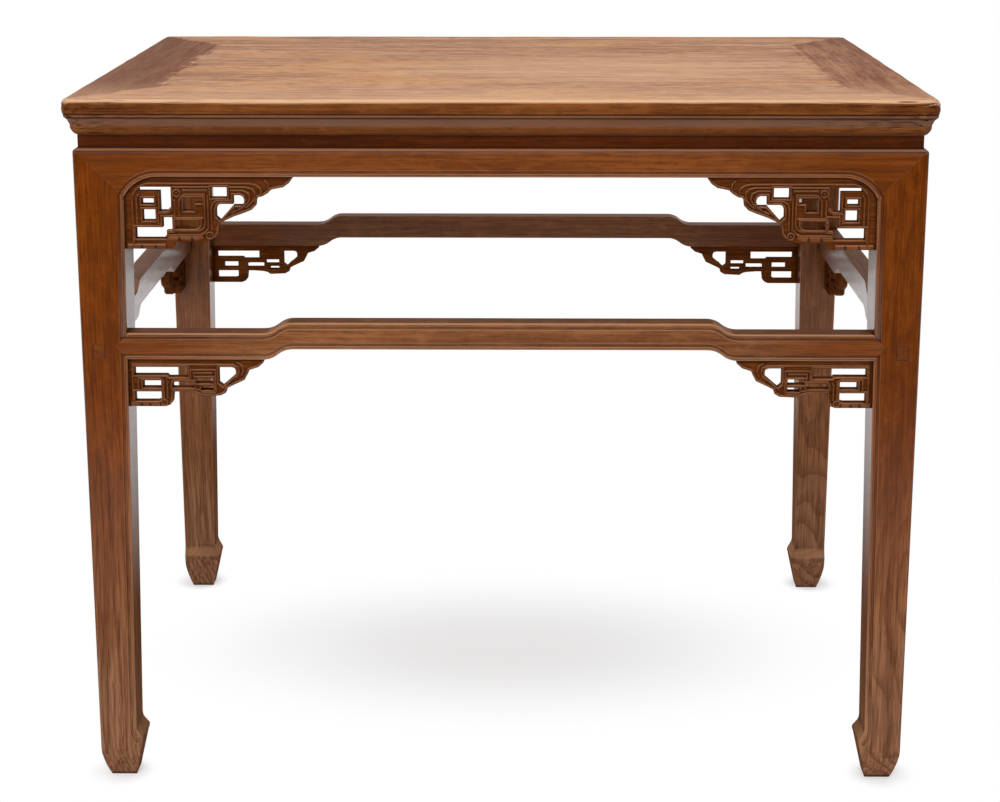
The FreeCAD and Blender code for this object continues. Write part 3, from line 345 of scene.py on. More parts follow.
# Through tenon: how far behind the leg's face its end starts, its rings, and its dark rim
TENON_START = 0.001
TENON_FULL = 0.0005
TENON_FIGURE = 0.2
RIM_START = 0.0013
RIM_FULL = 0.0004
RIM_STRENGTH = 0.6

# Lower part of the legs: the heights between which it fades out, and the look of its worn wood
FOOT_HEIGHTS = (0.02, 0.52)
FOOT_PATCHES = (0.2, 0.6, 0.75, 1.1)
FOOT_FIGURE = 0.55
FOOT_CALM = 2.0
FOOT_DULLNESS = (0.0, 0.6, 0.25, 0.0)
FOOT_COAT = (0.2, 0.52, 0.0, 1.0)

# Wear and painted highlight on the other pieces: on faces that look up, less where they lie quite flat, and
# on rubbed edges
UP_RANGE = (0.08, 0.55, 0.0)
FLAT_RANGE = (0.999, 0.95)
FLAT_WEAR_AND_HIGHLIGHT = 0.15
EDGE_WEAR_AND_HIGHLIGHT_PATCHES = (0.25, 0.65, 0.55, 1.0)
EDGE_WEAR_AND_HIGHLIGHT = {"leg": 0.35, "apron": 0.4, "stretcher": 0.5}

# Surface: smoothed edges, grime and painted shade in the hollows, the relief of the grain, and the shine and
# the wax
SMOOTHING = 0.0006
SAMPLES = 4
HOLLOW_RANGE = (0.95, 0.5)
GRIME_AND_SHADE_STRENGTH = 0.92
FIBRE_RELIEF = 0.5
LINE_RELIEF = 0.6
BUMP = {"Strength": 0.25, "Distance": 0.0004}
PATCH_RANGE = (0.25, 0.75)
SMOOTHER = 0.05
ROUGHER = 0.07
TOP_DULLNESS = (0.7, 0.95, 0.0, 0.3)
COAT_RANGE = (0.5, 0.9)
COAT_ROUGHNESS = 0.2
COAT_IOR = 1.3
LEG_COAT_IOR = 1.5


class Shader:
    """Builds the nodes of a material or of the world."""

    def __init__(self, name, kind="materials"):
        self.owner = getattr(bpy.data, kind).new(name)
        self.owner.use_nodes = True
        self.tree = self.owner.node_tree
        self.tree.nodes.clear()

    def node(self, kind, inputs=None, **settings):
        """A new node with its settings and inputs; an input is a plain value or another node's output."""
        made = self.tree.nodes.new(kind)
        for name, value in settings.items():
            setattr(made, name, value)
        for name, value in (inputs or {}).items():
            if isinstance(value, bpy.types.NodeSocket):
                self.tree.links.new(value, made.inputs[name])
            else:
                made.inputs[name].default_value = value
        return made

    def math(self, operation, first, second=0.0, clamp=False):
        """The result of one sum of two numbers."""
        inputs = {0: first, 1: second}
        return self.node("ShaderNodeMath", inputs, operation=operation, use_clamp=clamp).outputs[0]

    def times(self, first, second):
        """The product of two numbers."""
        return self.math("MULTIPLY", first, second)

    def blend(self, factor, first, second):
        """Two colours mixed by a factor."""
        return self.node("ShaderNodeMix", {0: factor, 6: first, 7: second}, data_type="RGBA").outputs[2]

    def ramp(self, value, low, high, start=0.0, end=1.0):
        """A value moved from one range to another, kept inside it."""
        inputs = {"Value": value, "From Min": low, "From Max": high, "To Min": start, "To Max": end}
        return self.node("ShaderNodeMapRange", inputs, interpolation_type="SMOOTHSTEP").outputs[0]

    def noise(self, vector, scale, detail, roughness, distortion=0.0):
        """Soft noise between zero and one."""
        inputs = {"Vector": vector, "Scale": scale, "Detail": detail, "Roughness": roughness,
                  "Distortion": distortion}
        return self.node("ShaderNodeTexNoise", inputs).outputs[0]


class Grain:
    """The patterns of one cut of wood, which follow its fibres."""

    def __init__(self, build, grain, seed, ring):
        self.build = build
        self.place = build.node("ShaderNodeTexCoord").outputs["Object"]
        inputs = {"Vector": self.place, "Location": seed, "Rotation": GRAIN_TURNS[grain]}
        self.along = build.node("ShaderNodeMapping", inputs).outputs[0]
        self.streaks = self.pattern(*STREAKS)
        self.strokes = self.pattern(*STROKES)
        self.lines = self.pattern(*LINES)
        self.patches = self.pattern(*PATCHES)
        self.fibres = self.pattern(*FIBRES)
        self.pores = build.ramp(self.pattern(*PORES), *PORE_RANGE)
        self.rings = self.ring_lines(ring)

    def at(self, number):
        """The place on the piece along one axis."""
        return axis(self.build, self.place, number)

    def pattern(self, squeeze, *settings):
        """Soft noise that is squeezed along the fibres, which stretches it that way."""
        inputs = {"Vector": self.along, "Scale": (squeeze, 1.0, 1.0)}
        squeezed = self.build.node("ShaderNodeMapping", inputs).outputs[0]
        return self.build.noise(squeezed, *settings)

    def ring_lines(self, ring):
        """Growth rings of one width round a pith beside the piece, swaying a little along it."""
        build = self.build
        sway = self.pattern(*SWAY)
        shift = {"X": 0.0, "Y": build.times(sway, SWAY_ACROSS),
                 "Z": build.times(self.patches, SWAY_UP)}
        shift = build.node("ShaderNodeCombineXYZ", shift).outputs[0]
        swayed = build.node("ShaderNodeVectorMath", {0: self.along, 1: shift}, operation="ADD").outputs[0]
        from_pith = build.node("ShaderNodeVectorMath", {0: swayed, 1: PITH}, operation="ADD").outputs[0]
        inputs = {"Vector": from_pith, "Scale": math.tau / (WAVE_RADIANS * ring), "Distortion": 1.2,
                  "Detail": 2.0, "Detail Scale": 0.8, "Detail Roughness": 0.6}
        return build.node("ShaderNodeTexWave", inputs, wave_type="RINGS", rings_direction="X",
                          wave_profile="SAW").outputs[1]

    def toned(self, tones, figure, broad=False, calm=1.0):
        """Three tones spread over the streaks, lines and patches. figure is the strength of the rings, broad
        adds wide strokes, and a larger calm makes the streaks fainter."""
        build = self.build
        bright, mean, deep = tones
        spread = STREAK_SPREAD * calm
        colour = build.blend(build.ramp(self.streaks, 0.5 - spread, 0.5 + spread), deep, bright)
        colour = build.blend(build.ramp(self.patches, *MEAN_RANGE), colour, mean)
        if broad:
            colour = build.blend(build.ramp(self.strokes, *DEEP_STROKES), colour, deep)
            colour = build.blend(build.ramp(self.strokes, *BRIGHT_STROKES), colour, bright)
        colour = build.blend(build.ramp(self.lines, *DEEP_LINES), colour, deep)
        colour = build.blend(build.ramp(self.lines, *BRIGHT_LINES), colour, bright)
        rings = build.times(build.ramp(self.rings, *RING_RANGE), figure)
        colour = build.blend(rings, colour, deep)
        colour = build.blend(build.ramp(self.fibres, *BRIGHT_FIBRES), colour, bright)
        return build.blend(build.times(self.pores, PORE_STRENGTH), colour, deep)

    def flecked(self, colour, tones, dark):
        """A colour with small flecks of its light tone, and of its dark one at a given strength."""
        build = self.build
        flecks = self.pattern(*FLECKS)
        colour = build.blend(build.ramp(flecks, *DARK_FLECKS, dark), colour, tones[2])
        return build.blend(build.ramp(flecks, *LIGHT_FLECKS), colour, tones[0])


def axis(build, vector, number):
    """One of a vector's three numbers."""
    return build.node("ShaderNodeSeparateXYZ", {0: vector}).outputs[number]


def line_at(build, value, place, width):
    """One where a value is at a place, and zero a little way from it."""
    away = build.math("ABSOLUTE", build.math("SUBTRACT", value, place))
    return build.ramp(away, width, width * LINE_CORE)


def moulding_tone(build, cut, tones):
    """The stain of the moulded edge, with dark lines of painted shade beside its bead, a painted highlight on
    the bead, dust in its cove and a darker foot.
    """
    depth = build.math("SUBTRACT", FRAME_FAR.z, cut.at(2))
    share = build.math("DIVIDE", depth, FRAME_FAR.z - FRAME_LOW.z)
    colour = cut.flecked(cut.toned(tones, EDGE_FIGURE), tones, EDGE_FLECKS)
    colour = build.blend(build.ramp(share, *EDGE_FOOT_SHARES, 0.0, EDGE_FOOT), colour, tones[2])
    start, full, fading, stop = EDGE_COVE_SHARES
    cove = build.times(build.ramp(share, start, full), build.ramp(share, stop, fading))
    # Dust in the cove, and a painted highlight along the bead, in one paler colour
    dust_and_highlight = build.math("MAXIMUM", cove, line_at(build, share, EDGE_BEAD_SHARE, EDGE_BEAD_WIDTH))
    dust_and_highlight = build.times(dust_and_highlight, build.ramp(cut.patches, *DUST_AND_HIGHLIGHT_RANGE))
    colour = build.blend(dust_and_highlight, colour, DUST_AND_HIGHLIGHT)
    # Dark lines of painted shade in the cut lines beside the bead
    for place in EDGE_LINE_SHARES:
        line = build.times(line_at(build, share, place, EDGE_LINE_WIDTH), EDGE_LINE)
        colour = build.blend(line, colour, GRIME_AND_SHADE)
    return colour


def board_tone(build, cut, figure):
    """The bleached wood of the top's long boards, with golden places and small weathered smudges."""
    colour = cut.toned(TOP_TONES, figure, True)
    colour = build.blend(build.ramp(cut.pattern(*GOLDEN), *GOLDEN_RANGE), colour, TOP_GOLD)
    colour = cut.flecked(colour, TOP_TONES, TOP_FLECKS)
    smudges = build.ramp(cut.pattern(*SMUDGES), *SMUDGE_RANGE)
    places = build.ramp(cut.pattern(*SMUDGED), *SMUDGED_RANGE)
    return build.blend(build.times(smudges, places), colour, GREY)


def stained_share(build, cut):
    """One on the top's two end members and zero on the rest of it, with a worn and uneven border."""
    far_x = build.math("SUBTRACT", build.math("ABSOLUTE", cut.at(0)), PANEL_END_X)
    far_y = build.math("SUBTRACT", build.math("ABSOLUTE", cut.at(1)), PANEL_END_Y)
    past_mitre = build.times(build.math("MAXIMUM", far_y, 0.0), MITRE_SLOPE)
    inside = build.math("SUBTRACT", far_x, past_mitre)
    uneven = build.math("SUBTRACT", build.noise(cut.place, *STAIN_NOISE), 0.5)
    inside = build.math("ADD", inside, build.times(uneven, STAIN_SWAY))
    return build.ramp(inside, -STAIN_BORDER, STAIN_BORDER)


def stained_tone(build, cut, figure):
    """The mottled stain of the top's two end members, darker on the left one."""
    mottles = build.ramp(build.noise(cut.place, *MOTTLE_NOISE), *MOTTLE_RANGE)
    colour = build.blend(mottles, cut.toned(END_TONES, figure, True), END_TONES[2])
    darker = build.ramp(cut.at(0), PANEL_END_X, -PANEL_END_X, 0.0, LEFT_STAIN)
    return build.blend(darker, colour, END_TONES[2])


def pale_share(build, cut):
    """How pale the top is worn, towards its front and round its middle."""
    start = PANEL_END_Y * FRONT_WEAR_START
    front = build.ramp(cut.at(1), start, -FRAME_FAR.y, 0.0, FRONT_WEAR)
    inputs = {"Vector": cut.place, "Location": WORN_MIDDLE, "Scale": WORN_SQUEEZE}
    squeezed = build.node("ShaderNodeMapping", inputs).outputs[0]
    away = build.node("ShaderNodeVectorMath", {0: squeezed}, operation="LENGTH").outputs["Value"]
    away = build.math("ADD", away, build.times(cut.patches, WORN_SWAY))
    return build.math("MAXIMUM", front, build.ramp(away, *WORN_RANGE))


def top_tone(build, cut, side, figure):
    """The top's wood: stained below its upper arris, which is rubbed pale and carries a painted highlight,
    and bleached on the face that looks up.
    """
    colour = board_tone(build, cut, figure)
    stain = build.times(stained_share(build, cut), STAIN)
    colour = build.blend(stain, colour, stained_tone(build, cut, figure))
    colour = build.blend(pale_share(build, cut), colour, WORN_TOP_AND_HIGHLIGHT)
    wide = build.node("ShaderNodeBevel", {"Radius": ARRIS_SMOOTHING}, samples=SAMPLES).outputs[0]
    lean = build.math("SUBTRACT", 1.0, axis(build, wide, 2))
    lean = build.times(lean, build.ramp(cut.patches, *LEAN_RANGE))
    # The rubbed arris: paler with wear and a painted highlight
    colour = build.blend(build.ramp(lean, *RUBBED_AND_HIGHLIT_LEAN), colour, WORN_TOP_AND_HIGHLIGHT)
    return build.blend(build.ramp(lean, *STAINED_LEAN), colour, moulding_tone(build, cut, side))


def end_tone(build, cut, colour, figure, along, reach):
    """The darker tones of a rail's ends, along one axis and by the rail's reach from its middle."""
    far = build.math("ABSOLUTE", cut.at(along))
    far = build.math("ADD", far, build.times(cut.strokes, END_SWAY))
    share = build.ramp(far, reach * END_START, reach * END_FULL, 0.0, END_STRENGTH)
    return build.blend(share, colour, cut.toned(LEG_TONES, figure))


def tenon_tone(build, cut, colour, box):
    """The end of a through tenon, in the leg's tones and with a dark rim."""
    low, high = box
    out = build.math("ABSOLUTE", cut.at(1))
    near_end = build.ramp(out, BODY_Y - TENON_START, BODY_Y - TENON_FULL)
    colour = build.blend(near_end, colour, cut.toned(LEG_TONES, TENON_FIGURE))
    rim = 0.0
    for number in (0, 2):
        middle = (low[number] + high[number]) / 2
        away = build.math("ABSOLUTE", build.math("SUBTRACT", cut.at(number), middle))
        half = (high[number] - low[number]) / 2
        rim = build.math("MAXIMUM", rim, build.ramp(away, half - RIM_START, half - RIM_FULL))
    share = build.times(build.times(near_end, rim), RIM_STRENGTH)
    return build.blend(share, colour, GRIME_AND_SHADE)


def foot_tone(build, cut, colour):
    """The paler, calmer wood that takes over towards the floor."""
    low = build.ramp(cut.at(2), *FOOT_HEIGHTS, 1.0, 0.0)
    share = build.times(low, build.ramp(cut.streaks, *FOOT_PATCHES))
    return build.blend(share, colour, cut.toned(FOOT_TONES, FOOT_FIGURE, calm=FOOT_CALM))


def relief_of(build, cut, smooth):
    """The slight relief of the fibres, lines and pores, as a bumped normal."""
    fibres = build.times(cut.fibres, FIBRE_RELIEF)
    relief = build.math("ADD", fibres, build.times(cut.lines, LINE_RELIEF))
    relief = build.math("SUBTRACT", relief, cut.pores)
    return build.node("ShaderNodeBump", {**BUMP, "Height": relief, "Normal": smooth}).outputs[0]


def wood(name, tones, grain, seed, ring=0.006, figure=0.4, rough=0.32, gloss=0.25, wax=1.0, foot=False,
         top=False, ends=None, tenon=None, up_wear_and_highlight=1.0, edge_wear_and_highlight=0.0, hollows=0.005):
    """Old waxed wood. tones are its light, middle and dark colours, grain is the axis that its fibres follow,
    ring is the width of its growth rings and figure their strength. gloss is the strength of its shine and
    wax that of its coat. foot is set for the legs and top for the pieces of the table's top. ends are the
    axis and reach of a rail's darker ends, and tenon is the box of a through tenon's end.
    up_wear_and_highlight is how pale the faces that look up are, with wear and a painted highlight;
    edge_wear_and_highlight how pale the whole is, with rubbed wear and a painted highlight; and hollows the
    size of the corners that hold grime and painted shade."""
    build = Shader(name)
    cut = Grain(build, grain, seed, ring)
    smooth = build.node("ShaderNodeBevel", {"Radius": SMOOTHING}, samples=SAMPLES).outputs[0]
    up = axis(build, smooth, 2)
    if top:
        colour = top_tone(build, cut, tones, figure)
    else:
        colour = cut.flecked(cut.toned(tones, figure), tones, BODY_FLECKS)
    if foot:
        colour = foot_tone(build, cut, colour)
    if ends:
        colour = end_tone(build, cut, colour, figure, *ends)
    if tenon:
        colour = tenon_tone(build, cut, colour, tenon)
    if not top:
        # Faces that look up are made paler: wear and a painted highlight
        wear_and_highlight_share = build.ramp(up, *UP_RANGE, up_wear_and_highlight)
        wear_and_highlight_share = build.times(wear_and_highlight_share, build.ramp(up, *FLAT_RANGE, FLAT_WEAR_AND_HIGHLIGHT, 1.0))
        colour = build.blend(wear_and_highlight_share, colour, WORN_BODY_AND_HIGHLIGHT)
    if edge_wear_and_highlight:
        # The whole wood of rounded edges is made paler: rubbed wear and a painted highlight
        wear_and_highlight_share = build.times(build.ramp(cut.patches, *EDGE_WEAR_AND_HIGHLIGHT_PATCHES), edge_wear_and_highlight)
        colour = build.blend(wear_and_highlight_share, colour, WORN_BODY_AND_HIGHLIGHT)
    # Grime and painted shade: darker where ambient occlusion finds hollows and corners
    hollow = build.node("ShaderNodeAmbientOcclusion", {"Distance": hollows}, samples=SAMPLES).outputs["AO"]
    grime_and_shade = build.times(build.ramp(hollow, *HOLLOW_RANGE), GRIME_AND_SHADE_STRENGTH)
    colour = build.blend(grime_and_shade, colour, GRIME_AND_SHADE)

    normal = relief_of(build, cut, smooth)
    shine = build.ramp(cut.patches, *PATCH_RANGE, rough - SMOOTHER, rough + ROUGHER)
    shine = build.math("ADD", shine, build.ramp(up, *TOP_DULLNESS))
    coat = build.ramp(up, *COAT_RANGE, wax, 0.0)
    if foot:
        shine = build.math("ADD", shine, build.ramp(cut.at(2), *FOOT_DULLNESS))
        coat = build.times(coat, build.ramp(cut.at(2), *FOOT_COAT))
    inputs = {"Base Color": colour, "Roughness": shine, "Normal": normal, "Specular IOR Level": gloss,
              "Coat Weight": coat, "Coat Roughness": COAT_ROUGHNESS, "Coat Normal": normal,
              "Coat IOR": LEG_COAT_IOR if foot else COAT_IOR}
    shader = build.node("ShaderNodeBsdfPrincipled", inputs)
    build.node("ShaderNodeOutputMaterial", {0: shader.outputs[0]})
    return build.owner


def seed_for(name):
    """A place of its own in the grain for each piece, from the letters of its name. The top's long boards
    share one."""
    if name.startswith(("top_rail", "panel_board")):
        name = "top"
    total = sum(index * ord(letter) for index, letter in enumerate(name, start=1))
    return tuple(total % count * step for count, step in SEED_STEPS)


def tenon_end(name):
    """The box of a side stretcher's through tenon, where it shows on a leg's face."""
    piece = NODES[name]
    shown = [piece.matrix_world @ vertex.co for vertex in piece.data.vertices]
    shown = [place for place in shown if place.y < NEAR - BODY_Y]
    return [[pick(place[number] for place in shown) for number in range(3)] for pick in (min, max)]


def finish_for(name):
    """The settings of a CAD piece's wood, from its name."""
    words = name.split("_")
    if name.startswith(("top", "panel_board")):
        return dict(tones=EDGE_TONES, top=True, grain="Y" if name.startswith("top_end") else "X", ring=0.011,
                    figure=0.15, rough=0.5, gloss=0.1, wax=0.0)
    if name.startswith("panel_batten"):
        return dict(tones=BATTEN_TONES, grain="Y", figure=0.4, rough=0.7, wax=0.0)
    if name.startswith("leg"):
        return dict(tones=LEG_TONES if "front" in words else BACK_LEG_TONES, foot=True, grain="Z",
                    figure=0.35, ring=0.004, up_wear_and_highlight=0.5, gloss=0.0)
    along = SIDE_GRAIN[words[1] if words[1] in SIDE_GRAIN else words[2]]
    ends = ("XY".index(along), LEG_INNER_X if along == "X" else LEG_INNER_Y)
    if name.startswith("waist"):
        return dict(tones=WAIST_TONES, grain=along, figure=0.3)
    if name.startswith("apron"):
        return dict(tones=APRON_TONES, grain=along, figure=0.3, ends=ends, up_wear_and_highlight=0.45)
    if name.startswith("stretcher"):
        tenon = tenon_end(name) if along == "Y" else None
        return dict(tones=STRETCHER_TONES, grain=along, figure=0.35, ends=ends, tenon=tenon, up_wear_and_highlight=0.7)
    return dict(tones=FRET_TONES, grain=along, figure=0.25, up_wear_and_highlight=0.4, wax=0.1, gloss=0.0, hollows=0.006)


def dress_frame():
    """Gives every CAD piece its own cut of wood."""
    woods = {}
    for name, piece in NODES.items():
        woods[name] = wood(f"wood_{name}", seed=seed_for(name), **finish_for(name))
        for slot in piece.material_slots:
            slot.material = woods[name]
    return woods


# Rounded copies of the CAD pieces

def linked(name, data):
    """A new object with its data, in the scene."""
    made = bpy.data.objects.new(name, data)
    bpy.context.scene.collection.objects.link(made)
    return made


def piece_from(shape, name, materials):
    """A smooth piece of the scene from a finished shape."""
    mesh = bpy.data.meshes.new(name)
    shape.to_mesh(mesh)
    shape.free()
    for material in materials:
        mesh.materials.append(material)
    mesh.shade_smooth()
    return linked(name, mesh)


def applied(piece):
    """Turns a piece's modifiers into its mesh."""
    bpy.context.view_layer.update()
    mesh = bpy.data.meshes.new_from_object(piece.evaluated_get(bpy.context.evaluated_depsgraph_get()))
    piece.modifiers.clear()
    piece.data = mesh
    return mesh


def outer_planes(name):
    """The outer faces of a piece, each as the number of an axis and a place along it."""
    return [OUTER_PLANES[word] for word in name.split("_") if word in OUTER_PLANES]


def is_seam(name, middle):
    """Whether an edge on a piece's outer face is where another piece joins it."""
    if name.startswith("leg"):
        on_shoulder = STRETCHER_LOW + NEAR < middle.z < STRETCHER_LOW + STRETCHER_HEIGHT - NEAR
        return middle.z > APRON_CORNER + NEAR or on_shoulder
    start = 0.0 if name.startswith("apron") else SHOULDER_START
    along_x = name.endswith(("front", "back"))
    reach = abs(middle.x) if along_x else abs(middle.y)
    return reach > (LEG_INNER_X if along_x else LEG_INNER_Y) + start + NEAR


def edge_rounding(name, edge, planes):
    """How far one edge of a piece is rounded."""
    if len(edge.link_faces) != 2 or not edge.is_convex or edge.calc_face_angle() < SHARP_TURN:
        return 0.0
    ends = [vertex.co for vertex in edge.verts]
    middle = (ends[0] + ends[1]) / 2
    for number, place in planes:
        if all(abs(end[number] - place) < NEAR for end in ends):
            if is_seam(name, middle):
                return 0.0
            reach = max(abs(vertex.co[number] - place) for face in edge.link_faces for vertex in face.verts)
            return GROOVE_ROUND if NEAR < reach < GROOVE_DEPTH else ARRIS_ROUND
    shows = name.startswith("leg") and middle.z < APRON_CORNER and (ends[0] - ends[1]).length > INNER_EDGE
    return INNER_ROUND if shows else 0.0


def node_shape(name):
    """A CAD piece's mesh where it stands, with its split vertices joined."""
    shape = bmesh.new()
    shape.from_mesh(NODES[name].data)
    shape.transform(NODES[name].matrix_world)
    bmesh.ops.remove_doubles(shape, verts=shape.verts, dist=SAME)
    return shape


def put_in_place(piece, name):
    """Evens out the normals of a piece and lets it stand in for a CAD piece."""
    piece.modifiers.new("normals", "WEIGHTED_NORMAL").keep_sharp = True
    applied(piece)
    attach(piece, "root")
    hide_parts(name)


def soften(name, woods, edge_wear_and_highlight):
    """Puts a copy with rounded edges in a CAD piece's place; its rounded edges are rubbed paler and carry a
    painted highlight.
    """
    shape = node_shape(name)
    bmesh.ops.dissolve_limit(shape, angle_limit=FLAT_TURN, verts=shape.verts, edges=shape.edges)
    weights = shape.edges.layers.float.new("bevel_weight_edge")
    planes = outer_planes(name)
    for edge in shape.edges:
        edge[weights] = edge_rounding(name, edge, planes) / ARRIS_ROUND
    edge_wood = wood(f"worn_and_highlit_{name}", seed=seed_for(name), edge_wear_and_highlight=edge_wear_and_highlight, **finish_for(name))
    piece = piece_from(shape, name + "_rounded", (woods[name], edge_wood))
    bevel = piece.modifiers.new("rounding", "BEVEL")
    bevel.width = ARRIS_ROUND
    bevel.segments = ROUND_SEGMENTS
    bevel.limit_method = "WEIGHT"
    bevel.use_clamp_overlap = False
    bevel.material = 1
    applied(piece).set_sharp_from_angle(angle=SHARP_TURN)
    put_in_place(piece, name)


def worn_corner(place, reach_x, reach_y):
    """Where a point of the top's square corner lies once that corner is worn round in plan."""
    share_x = (abs(place.x) - reach_x) / CORNER_RADIUS + 1
    share_y = (abs(place.y) - reach_y) / CORNER_RADIUS + 1
    if min(share_x, share_y) <= 0:
        return place
    pull = max(share_x, share_y) / math.hypot(share_x, share_y)
    x = reach_x + (share_x * pull - 1) * CORNER_RADIUS
    y = reach_y + (share_y * pull - 1) * CORNER_RADIUS
    return Vector((math.copysign(x, place.x), math.copysign(y, place.y), place.z))


def worn_edge(place):
    """Where a point near the top's upper arris lies once that arris is worn uneven."""
    shares = [max(0.0, 1 - (FRAME_FAR[number] - abs(place[number])) / WEAR_REACH) for number in range(3)]
    uneven = WEAR_MEAN
    for scale, strength in WEAR_WAVES:
        uneven += strength * noise.noise(place * scale)
    depth = (WEAR_DEPTH * max(uneven, 0.0) + CORNER_WEAR * shares[0] * shares[1]) * shares[2]
    x = abs(place.x) - depth * shares[0]
    y = abs(place.y) - depth * shares[1]
    z = place.z - WEAR_SINK * depth * max(shares[0], shares[1])
    return Vector((math.copysign(x, place.x), math.copysign(y, place.y), z))


def cut_across(shape, number, place):
    """Adds an edge all round a shape where a plane crosses it, at a place along one axis."""
    point = Vector((0, 0, 0))
    point[number] = place
    normal = Vector((0, 0, 0))
    normal[number] = 1
    parts = shape.verts[:] + shape.edges[:] + shape.faces[:]
    bmesh.ops.bisect_plane(shape, geom=parts, dist=SAME, plane_co=point, plane_no=normal)


def wear_top(name, slot_name, woods):
    """Puts a copy with worn corners and a worn arris in the place of one member of the top's frame."""
    shape = node_shape(name)
    number = 0 if slot_name == "rail_wood" else 1
    reach = FRAME_FAR[number]
    corner = CORNER_STEP * CORNER_CUTS
    places = [reach - cut * CORNER_STEP for cut in range(1, CORNER_CUTS)]
    steps = round((reach - corner) / WEAR_STEP)
    places += [(reach - corner) * step / steps for step in range(1, steps + 1)]
    for place in places:
        cut_across(shape, number, place)
        cut_across(shape, number, -place)
    for side in (-1, 1):
        cut_across(shape, 1 - number, side * (FRAME_FAR[1 - number] - WEAR_REACH))
    reaches = {}
    for vertex in shape.verts:
        level = round(vertex.co.z / NEAR)
        inset = reach - abs(vertex.co[number])
        reaches[level] = min(reaches.get(level, inset), inset)
    for vertex in shape.verts:
        inset = reaches[round(vertex.co.z / NEAR)]
        vertex.co = worn_edge(worn_corner(vertex.co, FRAME_FAR.x - inset, FRAME_FAR.y - inset))
    piece = piece_from(shape, name + "_worn", (woods[name],))
    piece.data.set_sharp_from_angle(angle=SHARP_TURN)
    put_in_place(piece, name)


# Carving on the spandrels

